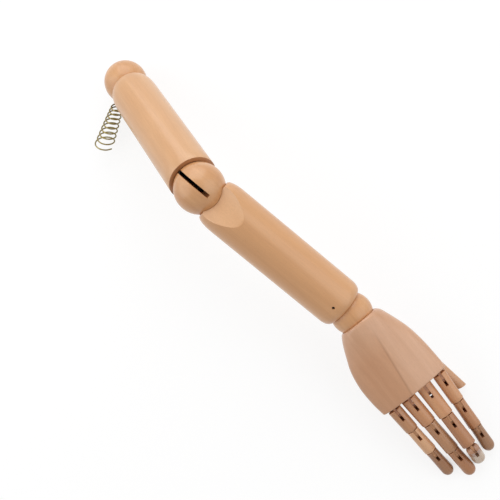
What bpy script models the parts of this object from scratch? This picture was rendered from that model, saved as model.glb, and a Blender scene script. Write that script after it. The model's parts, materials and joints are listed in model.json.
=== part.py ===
"""Jointed wooden lay-figure arm: shoulder ball to fingertips, one node per real piece.

Run with: blender --background --python part.py. Sizes are in metres, +Z is up, +X runs from
the shoulder to the fingertips, +Y is the thumb side. The arm stands as an arch on its shoulder
ball and its fingertips, as it would be laid on a table.
"""
import math

import bmesh
import bpy
from mathutils import Matrix, Vector

MM = 0.001

# Clearances
FIT = 0.3 * MM              # between two pieces that touch on the real arm
RUN = 0.35 * MM             # between a turning piece and its seat
SLOT_PLAY = 0.7 * MM        # on each side of a hook in its ball slot

# Balls and the distances between their centres
SHOULDER_BALL_R = 23.0 * MM
ELBOW_BALL_R = 25.0 * MM
WRIST_BALL_R = 20.6 * MM
SHOULDER_TO_ELBOW = 192.3 * MM
ELBOW_TO_WRIST = 187.9 * MM
MOUNT_FLAT_R = 5.0 * MM     # turned flat on the shoulder ball, opposite the arm

# Turned arm pieces
UPPER_ARM_OVER_SHOULDER = 1.1 * MM   # arm radius beyond the ball's
UPPER_ARM_UNDER_ELBOW = 0.6 * MM     # arm radius short of the ball's
FOREARM_UNDER_ELBOW = 0.1 * MM
FOREARM_OVER_WRIST = 4.0 * MM
SHOULDER_RIM = 14.7 * MM    # cup rims, measured from the ball's centre along the arm
ELBOW_RIM_UPPER = 16.0 * MM
ELBOW_RIM_FORE = 16.5 * MM
WRIST_RIM = 9.8 * MM
RIM_LAND = 1.0 * MM         # wood left outside the cup at a rounded rim
RIM_CHAMFER = 0.6 * MM
SHOULDER_NOSE = 9.0 * MM    # lengths over which the rounded ends reach full width
FOREARM_NOSE = 17.0 * MM
WRIST_NOSE = 10.0 * MM
BORE_R = 8.0 * MM
FLARE_R = 13.0 * MM         # wide bore round a hook that can lean
FLARE_DEPTH = 64.0 * MM
SCOOP_RADIUS = 70.0 * MM    # hollow in the forearm that lets the elbow fold
SCOOP_DEPTH = 9.7 * MM      # below the forearm's full radius, where the cup's ball ends
SCOOP_LENGTH = 26.0 * MM    # from there to where the hollow runs out

# Steel fittings
PIN_R = 1.5 * MM
PIN_INSET = 1.2 * MM
HOOK_THICKNESS = 2.4 * MM
HOOK_EYE_R = 4.0 * MM
HOOK_SHANK_R = 1.2 * MM
HOOK_STAND_OFF = 5.0 * MM   # from the elbow ball's surface to the underside of the hook's head
SWIVEL_SHANK_R = 1.6 * MM
SWIVEL_DEPTH = 13.0 * MM
SWIVEL_STAND_OFF = 10.0 * MM
HEAD_R = 3.2 * MM
HEAD_HEIGHT = 2.2 * MM
NAIL_R = 1.1 * MM
NAIL_FROM_RIM = 12.0 * MM
NAIL_ANGLE = math.radians(15)

# Springs
INNER_WIRE_R = 0.9 * MM
INNER_COIL_R = 5.6 * MM
INNER_CURLS = 10
INNER_STRAIGHT_SHARE = 0.6  # share of a spring that stays on the arm's axis
INNER_END_CURL = 0.9        # flat curl at each end that closes in behind a rod's head
OUTER_WIRE_R = 0.75 * MM
OUTER_COIL_R_START = 5.2 * MM
OUTER_COIL_R_END = 9.6 * MM
OUTER_CURLS = 9
OUTER_COIL_STAND_OFF = 2.5 * MM     # from the shoulder ball's surface to the coil
OUTER_COIL_LENGTH = 46.0 * MM
POINTS_PER_CURL = 10
INNER_POINTS_PER_CURL = 8

# Hand
PALM_LENGTH = 84.6 * MM
KNUCKLE_Z = -1.0 * MM
PALM_EDGE = 1.4 * MM
RIDGE_HEIGHT = 1.6 * MM     # of the soft ridge along the palm's back, at the knuckles
RIDGE_REACH = 24.0 * MM     # from the ridge down to the plain curve on either side
RIDGE_FROM = 8.0 * MM       # where it passes the wrist's end and the knuckles' end, across
RIDGE_TO = -4.0 * MM
# station along the palm from its rim, then how far it reaches beyond the wrist ball's radius
# on the thumb side, on the little finger's side and in thickness
PALM_STATIONS = (
    (0.8 * MM, 0.3 * MM, 0.3 * MM, 0.0 * MM),
    (3.5 * MM, 3.0 * MM, 2.3 * MM, 0.3 * MM),
    (9.0 * MM, 5.4 * MM, 5.4 * MM, -0.6 * MM),
    (20.0 * MM, 9.2 * MM, 10.4 * MM, -2.6 * MM),
    (34.0 * MM, 13.3 * MM, 15.8 * MM, -4.3 * MM),
    (52.0 * MM, 15.8 * MM, 18.8 * MM, -5.8 * MM),
    (70.0 * MM, 16.7 * MM, 18.6 * MM, -7.2 * MM),
)
PALM_END_HALF_WIDTHS = (37.4 * MM, 37.6 * MM)
PALM_END_HALF_THICKNESS = 12.4 * MM
PALM_HOOK_ROOT = 13.4 * MM  # how far the palm's hook runs into the wood beyond the wrist ball
JOINT_TONGUE = 2.6 * MM     # thickness of the wooden tongues in the finger joints
TONGUE_PLAY = 0.3 * MM
TONGUE_HALF_HEIGHT = 4.4 * MM
TONGUE_ROOT = 8.0 * MM      # how deep a tongue is glued into the piece that carries it
TONGUE_RECESS = 0.4 * MM    # of its shoulder below the back of the finger length round it
SLOT_BEYOND = 7.0 * MM      # a finger slot ends this far beyond its pin
FINGER_PIN_R = 0.8 * MM
FINGER_PIN_PLAY = 0.3 * MM

# name, place across the knuckles, yaw, base width, tip width, three lengths, bends at rest
FINGERS = (
    ("index", 28.0 * MM, -3.6, 13.6 * MM, 12.3 * MM, (32.9 * MM, 31.9 * MM, 31.8 * MM), (4, 4)),
    ("middle", 9.5 * MM, -1.3, 15.7 * MM, 13.0 * MM, (35.9 * MM, 35.6 * MM, 35.7 * MM), (3, 50)),
    ("ring", -9.5 * MM, 1.8, 15.8 * MM, 13.0 * MM, (32.2 * MM, 36.3 * MM, 35.2 * MM), (4, 6)),
    ("little", -26.3 * MM, 2.2, 13.7 * MM, 12.0 * MM, (27.7 * MM, 29.6 * MM, 35.6 * MM), (4, 5)),
)
FINGER_DEPTH_RATIO = 0.94   # thickness of a finger over its width
FINGER_NECK = 0.9           # near end of a length over the far end of the one before it

# Thumb, in the hollow under the palm's side
THUMB_LENGTHS = (23.5 * MM, 24.0 * MM, 40.5 * MM)
THUMB_WIDTH = 12.6 * MM
THUMB_SWELL = (1.0, 1.08, 1.08, 0.75)   # widths at its joints and tip over that width
THUMB_TIP_SLANT = 20.0      # its tip is cut off flat, in degrees from square
THUMB_TIP_EDGE = 0.8 * MM
THUMB_ROOT_X = 42.0 * MM    # from the wrist ball's centre
THUMB_ROOT_Y = 21.0 * MM
THUMB_ROOT_Z = -14.5 * MM
THUMB_YAW = 12.0
THUMB_PITCH = 10.0          # down from the palm, below the index finger
THUMB_HOLLOW_HEIGHT = 9.4 * MM  # from the thumb's axis up to the hollow's roof
THUMB_HOLLOW_SIDE = 9.0 * MM    # from the thumb's axis in to the hollow's wall

# Pose at rest, in degrees
ELBOW_BEND = 44.8           # backwards from straight
ELBOW_LEAN = 10.1           # sideways, as the springs allow
FOREARM_FALL = 17.4
WRIST_LEAN = 11.3
WRIST_FLEX = -9.0
SHOULDER_SPRING_ANGLE = 68.0
SHOULDER_SPRING_ROLL = 16.0

# Travel of the slots, in degrees from the hook's place at rest
ELBOW_SLOT_BACK = 5.0
ELBOW_SLOT_FORWARD = 152.0
SHOULDER_SLOT = (56.0, 150.0)
WRIST_SLOT = 48.0

# Facets
BALL_SEGMENTS = 28
BALL_RINGS = 14
ARM_SIDES = 32
CUP_STEPS = 6
NOSE_STEPS = 5
PALM_SIDES = 28
FINGER_SIDES = 14
ROD_SIDES = 10

WOODS = {
    "arm": (0.66, 0.39, 0.20, 0.38),
    "ball": (0.62, 0.37, 0.19, 0.36),
    "hand": (0.57, 0.32, 0.18, 0.45),
    "tongue": (0.48, 0.27, 0.15, 0.6),
}
METALS = {
    "brass": (0.55, 0.50, 0.24, 0.35),
    "steel": (0.45, 0.45, 0.46, 0.35),
}


def rot(axis, degrees):
    return Matrix.Rotation(math.radians(degrees), 4, axis)


def shift(x=0.0, y=0.0, z=0.0):
    return Matrix.Translation((x, y, z))


def clear_scene():
    for obj in list(bpy.data.objects):
        bpy.data.objects.remove(obj)


def material(name, look):
    colour = WOODS.get(look) or METALS[look]
    mat = bpy.data.materials.new(name)
    mat.use_nodes = True
    shader = mat.node_tree.nodes["Principled BSDF"]
    shader.inputs["Base Color"].default_value = (*colour[:3], 1.0)
    shader.inputs["Roughness"].default_value = colour[3]
    shader.inputs["Metallic"].default_value = 1.0 if look in METALS else 0.0
    return mat


def joint_frame(name, parent, local):
    """An empty on a joint's axis; what it carries is built in its axes."""
    frame = bpy.data.objects.new(name, None)
    bpy.context.collection.objects.link(frame)
    frame.parent = parent
    frame.matrix_local = local
    frame.empty_display_size = 0.02
    return frame


def place(obj, frame, local=None):
    bpy.context.collection.objects.link(obj)
    obj.parent = frame
    obj.matrix_local = local or Matrix()
    return obj


def piece(name, mesh, frame, look, local=None):
    """A node: one named object with its own material."""
    if isinstance(mesh, bmesh.types.BMesh):
        mesh = finished_mesh(name, mesh)
    obj = place(bpy.data.objects.new(name, mesh), frame, local)
    mesh.materials.append(material(name + "_" + look, look))
    return obj


def finished_mesh(name, bm, sharp=40):
    bmesh.ops.recalc_face_normals(bm, faces=bm.faces)
    mesh = bpy.data.meshes.new(name)
    bm.to_mesh(mesh)
    bm.free()
    mesh.shade_smooth()
    mesh.set_sharp_from_angle(angle=math.radians(sharp))
    return mesh


def cut(obj, bm, frame, operation="DIFFERENCE", local=None):
    """Cut obj with a hidden tool, or join the tool to it."""
    count = sum(m.type == "BOOLEAN" for m in obj.modifiers)
    name = f"{obj.name}_tool_{count}"
    tool = place(bpy.data.objects.new(name, finished_mesh(name, bm)), frame, local)
    tool.hide_render = True
    tool.display_type = "WIRE"
    step = obj.modifiers.new(name, "BOOLEAN")
    step.operation = operation
    step.solver = "EXACT"
    step.object = tool


def moved(bm, matrix):
    bmesh.ops.transform(bm, matrix=matrix, verts=bm.verts)
    return bm


def box(x0, x1, y0, y1, z0, z1):
    bm = bmesh.new()
    size = Matrix.Diagonal((x1 - x0, y1 - y0, z1 - z0, 1.0))
    centre = shift((x0 + x1) / 2, (y0 + y1) / 2, (z0 + z1) / 2)
    bmesh.ops.create_cube(bm, size=1.0, matrix=centre @ size)
    return bm


def rod(radius, start, end, axis="X", sides=ROD_SIDES):
    """A round bar along one axis, from start to end."""
    bm = bmesh.new()
    turn = {"X": rot("Y", 90), "Y": rot("X", -90), "Z": Matrix()}[axis]
    middle = turn @ shift(z=(start + end) / 2)
    bmesh.ops.create_cone(bm, cap_ends=True, segments=sides, radius1=radius, radius2=radius,
                          depth=end - start, matrix=middle)
    return bm


def turned(profile, sides, closed=True):
    """Spin a profile of (x, radius) points round the X axis."""
    bm = bmesh.new()
    verts = [bm.verts.new((x, 0.0, r)) for x, r in profile]
    edges = [bm.edges.new(pair) for pair in zip(verts, verts[1:])]
    if closed:
        edges.append(bm.edges.new((verts[-1], verts[0])))
    bmesh.ops.spin(bm, geom=verts + edges, cent=(0, 0, 0), axis=(1, 0, 0), dvec=(0, 0, 0),
                   angle=math.tau, steps=sides, use_merge=True)
    bmesh.ops.remove_doubles(bm, verts=bm.verts, dist=1e-7)
    return bm


def ball(radius, flat_r=0.0):
    """A turned ball with its poles on X, and a small flat at the -X pole if asked for."""
    bm = bmesh.new()
    bmesh.ops.create_uvsphere(bm, u_segments=BALL_SEGMENTS, v_segments=BALL_RINGS,
                              radius=radius, matrix=rot("Y", -90))
    if flat_r:
        depth = math.sqrt(radius ** 2 - flat_r ** 2)
        trimmed = bmesh.ops.bisect_plane(bm, geom=bm.verts[:] + bm.edges[:] + bm.faces[:],
                                         plane_co=(-depth, 0, 0), plane_no=(-1, 0, 0),
                                         clear_outer=True)
        rim = [g for g in trimmed["geom_cut"] if isinstance(g, bmesh.types.BMEdge)]
        bmesh.ops.contextual_create(bm, geom=rim)
    return bm


def cup_arc(centre_x, radius, rim_x, bore_r, side):
    """Points of a round cup from its rim to the bore; side is the way that it opens."""
    rim_angle = math.acos(abs(rim_x - centre_x) / radius)
    bore_angle = math.asin(bore_r / radius)
    points = []
    for i in range(CUP_STEPS + 1):
        angle = rim_angle + (bore_angle - rim_angle) * i / CUP_STEPS
        points.append((centre_x - side * radius * math.cos(angle), radius * math.sin(angle)))
    return points


def nose(x_rim, r_rim, x_full, r_full):
    """A quarter ellipse from a rim out to the full width."""
    points = []
    for i in range(NOSE_STEPS + 1):
        angle = math.pi / 2 * i / NOSE_STEPS
        x = x_full + (x_rim - x_full) * math.cos(angle)
        points.append((x, r_rim + (r_full - r_rim) * math.sin(angle)))
    return points


def rim_radius(ball_r, rim):
    return math.sqrt((ball_r + RUN) ** 2 - rim ** 2) + RIM_LAND


def slot_tool(ball_r, start, end, clear_r, width):
    """The sector that a hook sweeps in a ball, plus the room round its eye."""
    reach = ball_r * 1.1
    steps = max(4, round(abs(end - start) / 12))
    start, end = math.radians(start), math.radians(end)
    quarter = math.pi / 2
    outline = [(reach * math.cos(start) + clear_r * math.cos(start - quarter),
                reach * math.sin(start) + clear_r * math.sin(start - quarter))]
    for i in range(steps + 1):
        angle = start + (end - start) * i / steps
        outline.append((reach * math.cos(angle), reach * math.sin(angle)))
    outline.append((reach * math.cos(end) + clear_r * math.cos(end + quarter),
                    reach * math.sin(end) + clear_r * math.sin(end + quarter)))
    back_from, back_to = end + quarter, start - quarter + math.tau
    for i in range(7):
        angle = back_from + (back_to - back_from) * i / 6
        outline.append((clear_r * math.cos(angle), clear_r * math.sin(angle)))
    bm = bmesh.new()
    verts = [bm.verts.new((x, -width / 2, z)) for x, z in outline]
    face = bm.faces.new(verts)
    grown = bmesh.ops.extrude_face_region(bm, geom=[face])
    top = [g for g in grown["geom"] if isinstance(g, bmesh.types.BMVert)]
    bmesh.ops.translate(bm, vec=(0, width, 0), verts=top)
    return bm


def slotted_ball(name, frame, radius, slot_from, slot_to, swivel_turn, flat_r=0.0):
    """A wooden ball with its hook slot, cross-pin bore and swivel bore."""
    obj = piece(name, ball(radius, flat_r), frame, "ball")
    width = HOOK_THICKNESS + 2 * SLOT_PLAY
    slot = slot_tool(radius, slot_from, slot_to, HOOK_EYE_R + RUN, width)
    cut(obj, slot, frame)
    cut(obj, rod(PIN_R + FIT, -radius * 1.1, radius * 1.1, "Y"), frame)
    bore = rod(SWIVEL_SHANK_R + FIT, radius - SWIVEL_DEPTH - FIT, radius * 1.1)
    cut(obj, moved(bore, swivel_turn), frame)
    return obj


def cross_pin(name, frame, ball_r):
    half = ball_r - PIN_INSET
    return piece(name, rod(PIN_R, -half, half, "Y"), frame, "steel")


def headed_rod(start, head_from, shank_r):
    profile = [(start, 0.0), (start, shank_r), (head_from, shank_r), (head_from, HEAD_R),
               (head_from + HEAD_HEIGHT, HEAD_R), (head_from + HEAD_HEIGHT, 0.0)]
    return turned(profile, ROD_SIDES + 2, closed=False)


def swivel(name, frame, ball_r, turn):
    """The headed rod that is fixed in a ball and turns in the end of a spring."""
    rod_mesh = headed_rod(ball_r - SWIVEL_DEPTH, ball_r + SWIVEL_STAND_OFF, SWIVEL_SHANK_R)
    return piece(name, moved(rod_mesh, turn), frame, "steel")


def hook(name, frame, shank, turn):
    """A flat eye round the cross pin, with a shank out through the slot."""
    obj = piece(name, moved(shank, turn), frame, "steel")
    half = HOOK_THICKNESS / 2
    cut(obj, rod(HOOK_EYE_R, -half, half, "Y", 16), frame, "UNION")
    cut(obj, rod(PIN_R + RUN, -half * 2, half * 2, "Y"), frame)
    return obj


def tube(name, points, wire_r, frame, look):
    """One unbroken wire through the points, with closed ends."""
    curve = bpy.data.curves.new(name, "CURVE")
    curve.dimensions = "3D"
    curve.bevel_depth = wire_r
    curve.bevel_resolution = 1
    curve.use_fill_caps = True
    line = curve.splines.new("POLY")
    line.points.add(len(points) - 1)
    for point, co in zip(line.points, points):
        point.co = (*co, 1.0)
    obj = place(bpy.data.objects.new(name, curve), frame)
    curve.materials.append(material(name + "_" + look, look))
    return obj


def least_self_gap(points, wire_r, neighbours):
    """Smallest gap of a wire to its own other turns, measured on its points."""
    least = 1.0
    for i, a in enumerate(points):
        for b in points[i + neighbours:]:
            least = min(least, (a - b).length)
    return least - 2 * wire_r


def inner_spring(name, frame, start, end, start_dir, end_dir, ring_rs):
    """A spring whose ends close round two headed rods, along a smoothly bent line."""
    points = []
    count = INNER_CURLS * INNER_POINTS_PER_CURL
    sideways = (end - start) - start_dir * start_dir.dot(end - start)
    for i in range(count + 1):
        curl = i / count * INNER_CURLS
        t = (curl - INNER_END_CURL) / (INNER_CURLS - 2 * INNER_END_CURL)
        t = min(1.0, max(0.0, t))
        along = start + start_dir * (start_dir.dot(end - start) * t) + sideways * ease_in(t)
        tangent = start_dir.lerp(end_dir, t * t).normalized()
        side = tangent.cross(Vector((0, 1, 0))).normalized()
        other = tangent.cross(side)
        swell = min(1.0, curl / INNER_END_CURL, (INNER_CURLS - curl) / INNER_END_CURL)
        ring = ring_rs[0] if t < 0.5 else ring_rs[1]
        radius = ring + (INNER_COIL_R - ring) * swell
        angle = math.tau * curl
        points.append(along + radius * (side * math.cos(angle) + other * math.sin(angle)))
    gap = least_self_gap(points, INNER_WIRE_R, INNER_POINTS_PER_CURL // 2)
    print(f"{name}: least gap to itself {gap / MM:.2f} mm")
    return tube(name, points, INNER_WIRE_R, frame, "steel")


def ease_in(t):
    """0 along the straight part of an inner spring, rising smoothly to 1 at its leaning end."""
    u = max(0.0, (t - INNER_STRAIGHT_SHARE) / (1 - INNER_STRAIGHT_SHARE))
    return u * u * (3 - 2 * u)


def shoulder_spring_points():
    """Round the pin, out along the slot, then a widening coil with an open hooked end."""
    eye_r = PIN_R + RUN + OUTER_WIRE_R
    points = []
    for i in range(10):
        angle = math.radians(-60 + 290 * i / 9)
        points.append(Vector((-eye_r * math.cos(angle), 0, eye_r * math.sin(angle))))
    coil_start = SHOULDER_BALL_R + OUTER_COIL_STAND_OFF
    lead = coil_start - 6 * MM
    for i in range(4):
        points.append(Vector((eye_r + 2.5 * MM + (lead - eye_r - 2.5 * MM) * i / 3, 0, 0)))
    count = OUTER_CURLS * POINTS_PER_CURL
    for i in range(count + 1):
        t = i / count
        curl = t * OUTER_CURLS
        full = OUTER_COIL_R_START + (OUTER_COIL_R_END - OUTER_COIL_R_START) * t ** 0.8
        radius = full * min(1.0, 0.25 + 0.75 * curl)
        x = coil_start + OUTER_COIL_LENGTH * t ** 1.25
        angle = math.tau * curl
        points.append(Vector((x, radius * math.sin(angle), radius * math.cos(angle))))
    last = points[-1]
    ahead = (last - points[-2]).normalized()
    for i in range(1, 4):
        points.append(last + ahead * (2.2 * MM * i) + Vector((1.2 * MM * i * i / 3, 0, 0)))
    return points


def ring_points(x, y0, y1, z0, z1, sides, power):
    """A rounded outline across X; power 2 is an ellipse and more is squarer."""
    ring = []
    for i in range(sides):
        angle = math.tau * (i + 0.5) / sides
        c, s = math.cos(angle), math.sin(angle)
        y = math.copysign(abs(c) ** (2 / power), c)
        z = math.copysign(abs(s) ** (2 / power), s)
        middle_y, half_y = (y0 + y1) / 2, (y1 - y0) / 2
        middle_z, half_z = (z0 + z1) / 2, (z1 - z0) / 2
        ring.append((x, middle_y + half_y * y, middle_z + half_z * z))
    return ring


def loft(rings):
    """Bridge a row of outlines and close both ends."""
    bm = bmesh.new()
    loops = []
    for ring in rings:
        verts = [bm.verts.new(co) for co in ring]
        loops.append([bm.edges.new((a, b)) for a, b in zip(verts, verts[1:] + verts[:1])])
    for first, second in zip(loops, loops[1:]):
        bmesh.ops.bridge_loops(bm, edges=first + second)
    for end in (loops[0], loops[-1]):
        bmesh.ops.contextual_create(bm, geom=end)
    return bm


def upper_arm(frame):
    length = SHOULDER_TO_ELBOW
    rim = rim_radius(SHOULDER_BALL_R, SHOULDER_RIM)
    top = SHOULDER_BALL_R + UPPER_ARM_OVER_SHOULDER
    outer = nose(SHOULDER_RIM, rim, SHOULDER_RIM + SHOULDER_NOSE, top)
    bottom = ELBOW_BALL_R - UPPER_ARM_UNDER_ELBOW
    end_x = length - ELBOW_RIM_UPPER
    outer.append((end_x - RIM_CHAMFER, bottom))
    outer.append((end_x, bottom - RIM_CHAMFER))
    cup_far = cup_arc(length, ELBOW_BALL_R + RUN, end_x, FLARE_R, 1)
    flare_x = length - FLARE_DEPTH
    inside = [(flare_x, FLARE_R), (flare_x - (FLARE_R - BORE_R), BORE_R)]
    cup_near = cup_arc(0.0, SHOULDER_BALL_R + RUN, SHOULDER_RIM, BORE_R, -1)
    profile = outer + cup_far + inside + cup_near[::-1]
    return piece("upper_arm", turned(profile, ARM_SIDES), frame, "arm")


def forearm(frame):
    length = ELBOW_TO_WRIST
    rim = rim_radius(ELBOW_BALL_R, ELBOW_RIM_FORE)
    top = ELBOW_BALL_R - FOREARM_UNDER_ELBOW
    outer = nose(ELBOW_RIM_FORE, rim, ELBOW_RIM_FORE + FOREARM_NOSE, top)
    bottom = WRIST_BALL_R + FOREARM_OVER_WRIST
    end_x = length - WRIST_RIM
    far = nose(end_x, rim_radius(WRIST_BALL_R, WRIST_RIM), end_x - WRIST_NOSE, bottom)
    cup_far = cup_arc(length, WRIST_BALL_R + RUN, end_x, FLARE_R, 1)
    flare_x = length - FLARE_DEPTH
    inside = [(flare_x, FLARE_R), (flare_x - (FLARE_R - BORE_R), BORE_R)]
    cup_near = cup_arc(0.0, ELBOW_BALL_R + RUN, ELBOW_RIM_FORE, BORE_R, -1)
    profile = outer + far[::-1] + cup_far + inside + cup_near[::-1]
    obj = piece("forearm", turned(profile, ARM_SIDES), frame, "arm")
    slope = math.atan2(SCOOP_DEPTH, SCOOP_LENGTH)
    start, end = -60 * MM, 90 * MM
    scoop = rod(SCOOP_RADIUS, start, end, "X", 96)
    lift = shift(ELBOW_BALL_R, 0, top - SCOOP_DEPTH) @ Matrix.Rotation(-slope, 4, "Y")
    cut(obj, moved(scoop, lift @ shift(z=SCOOP_RADIUS)), frame)
    nail_x = end_x - NAIL_FROM_RIM
    turn = Matrix.Rotation(NAIL_ANGLE, 4, "X")
    hole = rod(NAIL_R + FIT, FLARE_R * 0.8, bottom * 1.1, "Z", 8)
    cut(obj, moved(hole, turn @ shift(x=nail_x)), frame)
    nail = rod(NAIL_R, FLARE_R + FIT, bottom - PIN_INSET, "Z", 8)
    piece("forearm_nail", moved(nail, turn @ shift(x=nail_x)), frame, "steel")
    return obj


def palm(frame, knuckles):
    """The lofted palm block with its wrist cup, hook bore, knuckle tongues and thumb hollow."""
    rings = []
    rim = rim_radius(WRIST_BALL_R, WRIST_RIM)
    rings.append(ring_points(WRIST_RIM, -rim, rim, -rim, rim, PALM_SIDES, 2.0))
    for i, (x, *beyond) in enumerate(PALM_STATIONS):
        thumb_side, little_side, half = [WRIST_BALL_R + reach for reach in beyond]
        power = min(2.5, 2.0 + 0.12 * i)
        rings.append(ridged(ring_points(WRIST_RIM + x, -little_side, thumb_side, -half, half,
                                        PALM_SIDES, power)))
    end_x = WRIST_RIM + PALM_LENGTH
    thumb_side, little_side = PALM_END_HALF_WIDTHS
    half = PALM_END_HALF_THICKNESS
    for inset in (0.0, PALM_EDGE):
        rings.append(ridged(ring_points(end_x - PALM_EDGE + inset, -little_side + inset,
                                        thumb_side - inset, -half + inset, half - inset,
                                        PALM_SIDES, 2.6)))
    obj = piece("palm", loft(rings), frame, "hand")
    cup = bmesh.new()
    bmesh.ops.create_uvsphere(cup, u_segments=BALL_SEGMENTS, v_segments=BALL_RINGS,
                              radius=WRIST_BALL_R + RUN, matrix=rot("Y", -90))
    cut(obj, cup, frame)
    bore_end = WRIST_BALL_R + PALM_HOOK_ROOT + FIT
    cut(obj, rod(HOOK_SHANK_R + FIT, WRIST_BALL_R * 0.8, bore_end, "X", 12), frame)
    for seat, depth in knuckles:
        offset = pivot_offset(depth)
        cut(obj, moved(tongue(depth), seat), frame, "UNION")
        hole = rod(FINGER_PIN_R + FIT, -JOINT_TONGUE, JOINT_TONGUE, "Y", 8)
        cut(obj, moved(hole, seat @ shift(x=offset)), frame)
    seat = thumb_seat()
    far = 200 * MM
    hollow = box(0.0, far, -THUMB_HOLLOW_SIDE, far, -far, 0.0)
    cut(obj, moved(hollow, seat @ shift(z=THUMB_HOLLOW_HEIGHT)), frame)
    cut(obj, moved(mortise_tool(), seat @ rot("X", 90)), frame)
    return obj


def ridged(ring):
    """Lift the back of a palm outline towards the ridge, more and more to the knuckles."""
    lifted = []
    for x, y, z in ring:
        t = max(0.0, (x - WRIST_RIM) / PALM_LENGTH)
        middle = RIDGE_FROM + (RIDGE_TO - RIDGE_FROM) * t
        near = max(0.0, 1 - abs(y - middle) / RIDGE_REACH)
        lift = RIDGE_HEIGHT * min(1.0, 1.5 * t) * near if z > 0 else 0.0
        lifted.append((x, y, z + lift))
    return lifted


def thumb_seat():
    """Where the thumb's first joint line lies, in the palm's axes."""
    turn = rot("Z", THUMB_YAW) @ rot("Y", THUMB_PITCH)
    return shift(THUMB_ROOT_X, THUMB_ROOT_Y, THUMB_ROOT_Z) @ turn


def mortise_tool():
    """The blind slot that holds the root of a tongue; the joint line is at x = 0."""
    half = JOINT_TONGUE / 2 + FIT
    high = TONGUE_HALF_HEIGHT + FIT
    return box(-TONGUE_ROOT - FIT, TONGUE_ROOT, -half, half, -high, high)


def tongue(depth):
    """A plate with a round nose about the pin of a length that is this deep. Its shoulder
    fills the slot up to the back, as far as the pin."""
    bm = bmesh.new()
    pivot_x = pivot_offset(depth)
    shoulder = max(TONGUE_HALF_HEIGHT + FIT, depth / 2 - TONGUE_RECESS)
    outline = [(-TONGUE_ROOT, -TONGUE_HALF_HEIGHT)]
    for i in range(9):
        angle = math.pi * (i / 8 - 0.5)
        outline.append((pivot_x + TONGUE_HALF_HEIGHT * math.cos(angle),
                        TONGUE_HALF_HEIGHT * math.sin(angle)))
    outline += [(pivot_x, shoulder), (FIT, shoulder), (FIT, TONGUE_HALF_HEIGHT)]
    outline.append((-TONGUE_ROOT, TONGUE_HALF_HEIGHT))
    verts = [bm.verts.new((x, -JOINT_TONGUE / 2, z)) for x, z in outline]
    grown = bmesh.ops.extrude_face_region(bm, geom=[bm.faces.new(verts)])
    top = [g for g in grown["geom"] if isinstance(g, bmesh.types.BMVert)]
    bmesh.ops.translate(bm, vec=(0, JOINT_TONGUE, 0), verts=top)
    return bm


def pivot_offset(depth):
    """From a joint line to the pin behind it: half the thickness plus the running gap."""
    return depth / 2 + FIT


def add_tongue_and_pin(label, frame, seat, depth, width):
    """A tongue glued at the joint line given by seat, and the pin that it carries."""
    offset = pivot_offset(depth)
    tongue_obj = piece(label + "_tongue", moved(tongue(depth), seat), frame, "tongue")
    hole = rod(FINGER_PIN_R + FIT, -JOINT_TONGUE, JOINT_TONGUE, "Y", 8)
    cut(tongue_obj, moved(hole, seat @ shift(x=offset)), frame)
    half = width / 2 - FIT
    pin = rod(FINGER_PIN_R, -half, half, "Y", 8)
    piece(label + "_pin", moved(pin, seat @ shift(x=offset)), frame, "steel")


def finger_outline(length, base_w, end_w, tip):
    """Cross-sections of a finger piece; x = 0 is the pin at its near end. The tip is None
    where another length follows, or else "round" or "slanted"."""
    depth = base_w * FINGER_DEPTH_RATIO
    start = -depth / 2
    stations = []
    for i in range(4):
        angle = math.radians(90 * i / 3)
        drop = depth / 2 * (1 - math.sin(angle))
        stations.append((start * math.cos(angle), base_w, depth, drop))
    end = length - pivot_offset(depth)
    end_depth = end_w * FINGER_DEPTH_RATIO
    if not tip:
        stations.append((end, end_w, end_depth, 0.0))
        return stations
    if tip == "slanted":
        end -= FIT
        edge = THUMB_TIP_EDGE
        stations.append((end - edge, end_w, end_depth, 0.0))
        stations.append((end, end_w - 2 * edge, end_depth - 2 * edge, 0.0))
        return stations
    round_len = end_w * 0.62
    stations.append((end - round_len, end_w, end_depth, 0.0))
    for i in range(1, 5):
        angle = math.radians(84 * i / 4)
        x = end - round_len + round_len * math.sin(angle)
        stations.append((x, end_w * math.cos(angle), end_depth * math.cos(angle), 0.0))
    return stations


def finger_piece(name, frame, length, base_w, end_w, tip, carries):
    """A finger length: square on the back and rounded on the palm side of its pin, so that
    it folds one way only, with a slot that goes right through for the tongue."""
    rings = []
    for x, w, d, drop in finger_outline(length, base_w, end_w, tip):
        rings.append(ring_points(x, -w / 2, w / 2, -d / 2 + drop, d / 2, FINGER_SIDES, 2.5))
    if tip == "slanted":
        rings[-2:] = slanted(rings[-2:], end_w)
    obj = piece(name, loft(rings), frame, "hand")
    half = JOINT_TONGUE / 2 + TONGUE_PLAY
    deep = base_w
    cut(obj, box(-deep, SLOT_BEYOND, -half, half, -deep, deep), frame)
    cut(obj, rod(FINGER_PIN_R + FINGER_PIN_PLAY, -deep, deep, "Y", 8), frame)
    end = length - pivot_offset(base_w * FINGER_DEPTH_RATIO)
    if carries:
        cut(obj, moved(mortise_tool(), shift(x=end)), frame)
    return end


def slanted(rings, width):
    """Lean the last outlines back on the side away from the thumb's edge."""
    slope = math.tan(math.radians(THUMB_TIP_SLANT))
    return [[(x - (width / 2 - y) * slope, y, z) for x, y, z in ring] for ring in rings]


def finger_frames(seat, widths, lengths, bends, flex):
    """World matrices of a finger's three pins for a knuckle bend, and its tip's lowest point."""
    frames = []
    current = seat
    for width, length, bend in zip(widths, lengths, (flex, *bends)):
        depth = width * FINGER_DEPTH_RATIO
        offset = pivot_offset(depth)
        current = current @ shift(x=offset) @ rot("Y", bend)
        frames.append(current)
        current = current @ shift(x=length - offset)
    tip_r = widths[-1] * FINGER_DEPTH_RATIO / 2
    centre = current @ Vector((-widths[-1] * 0.5, 0, 0))
    return frames, centre.z - tip_r


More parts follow.
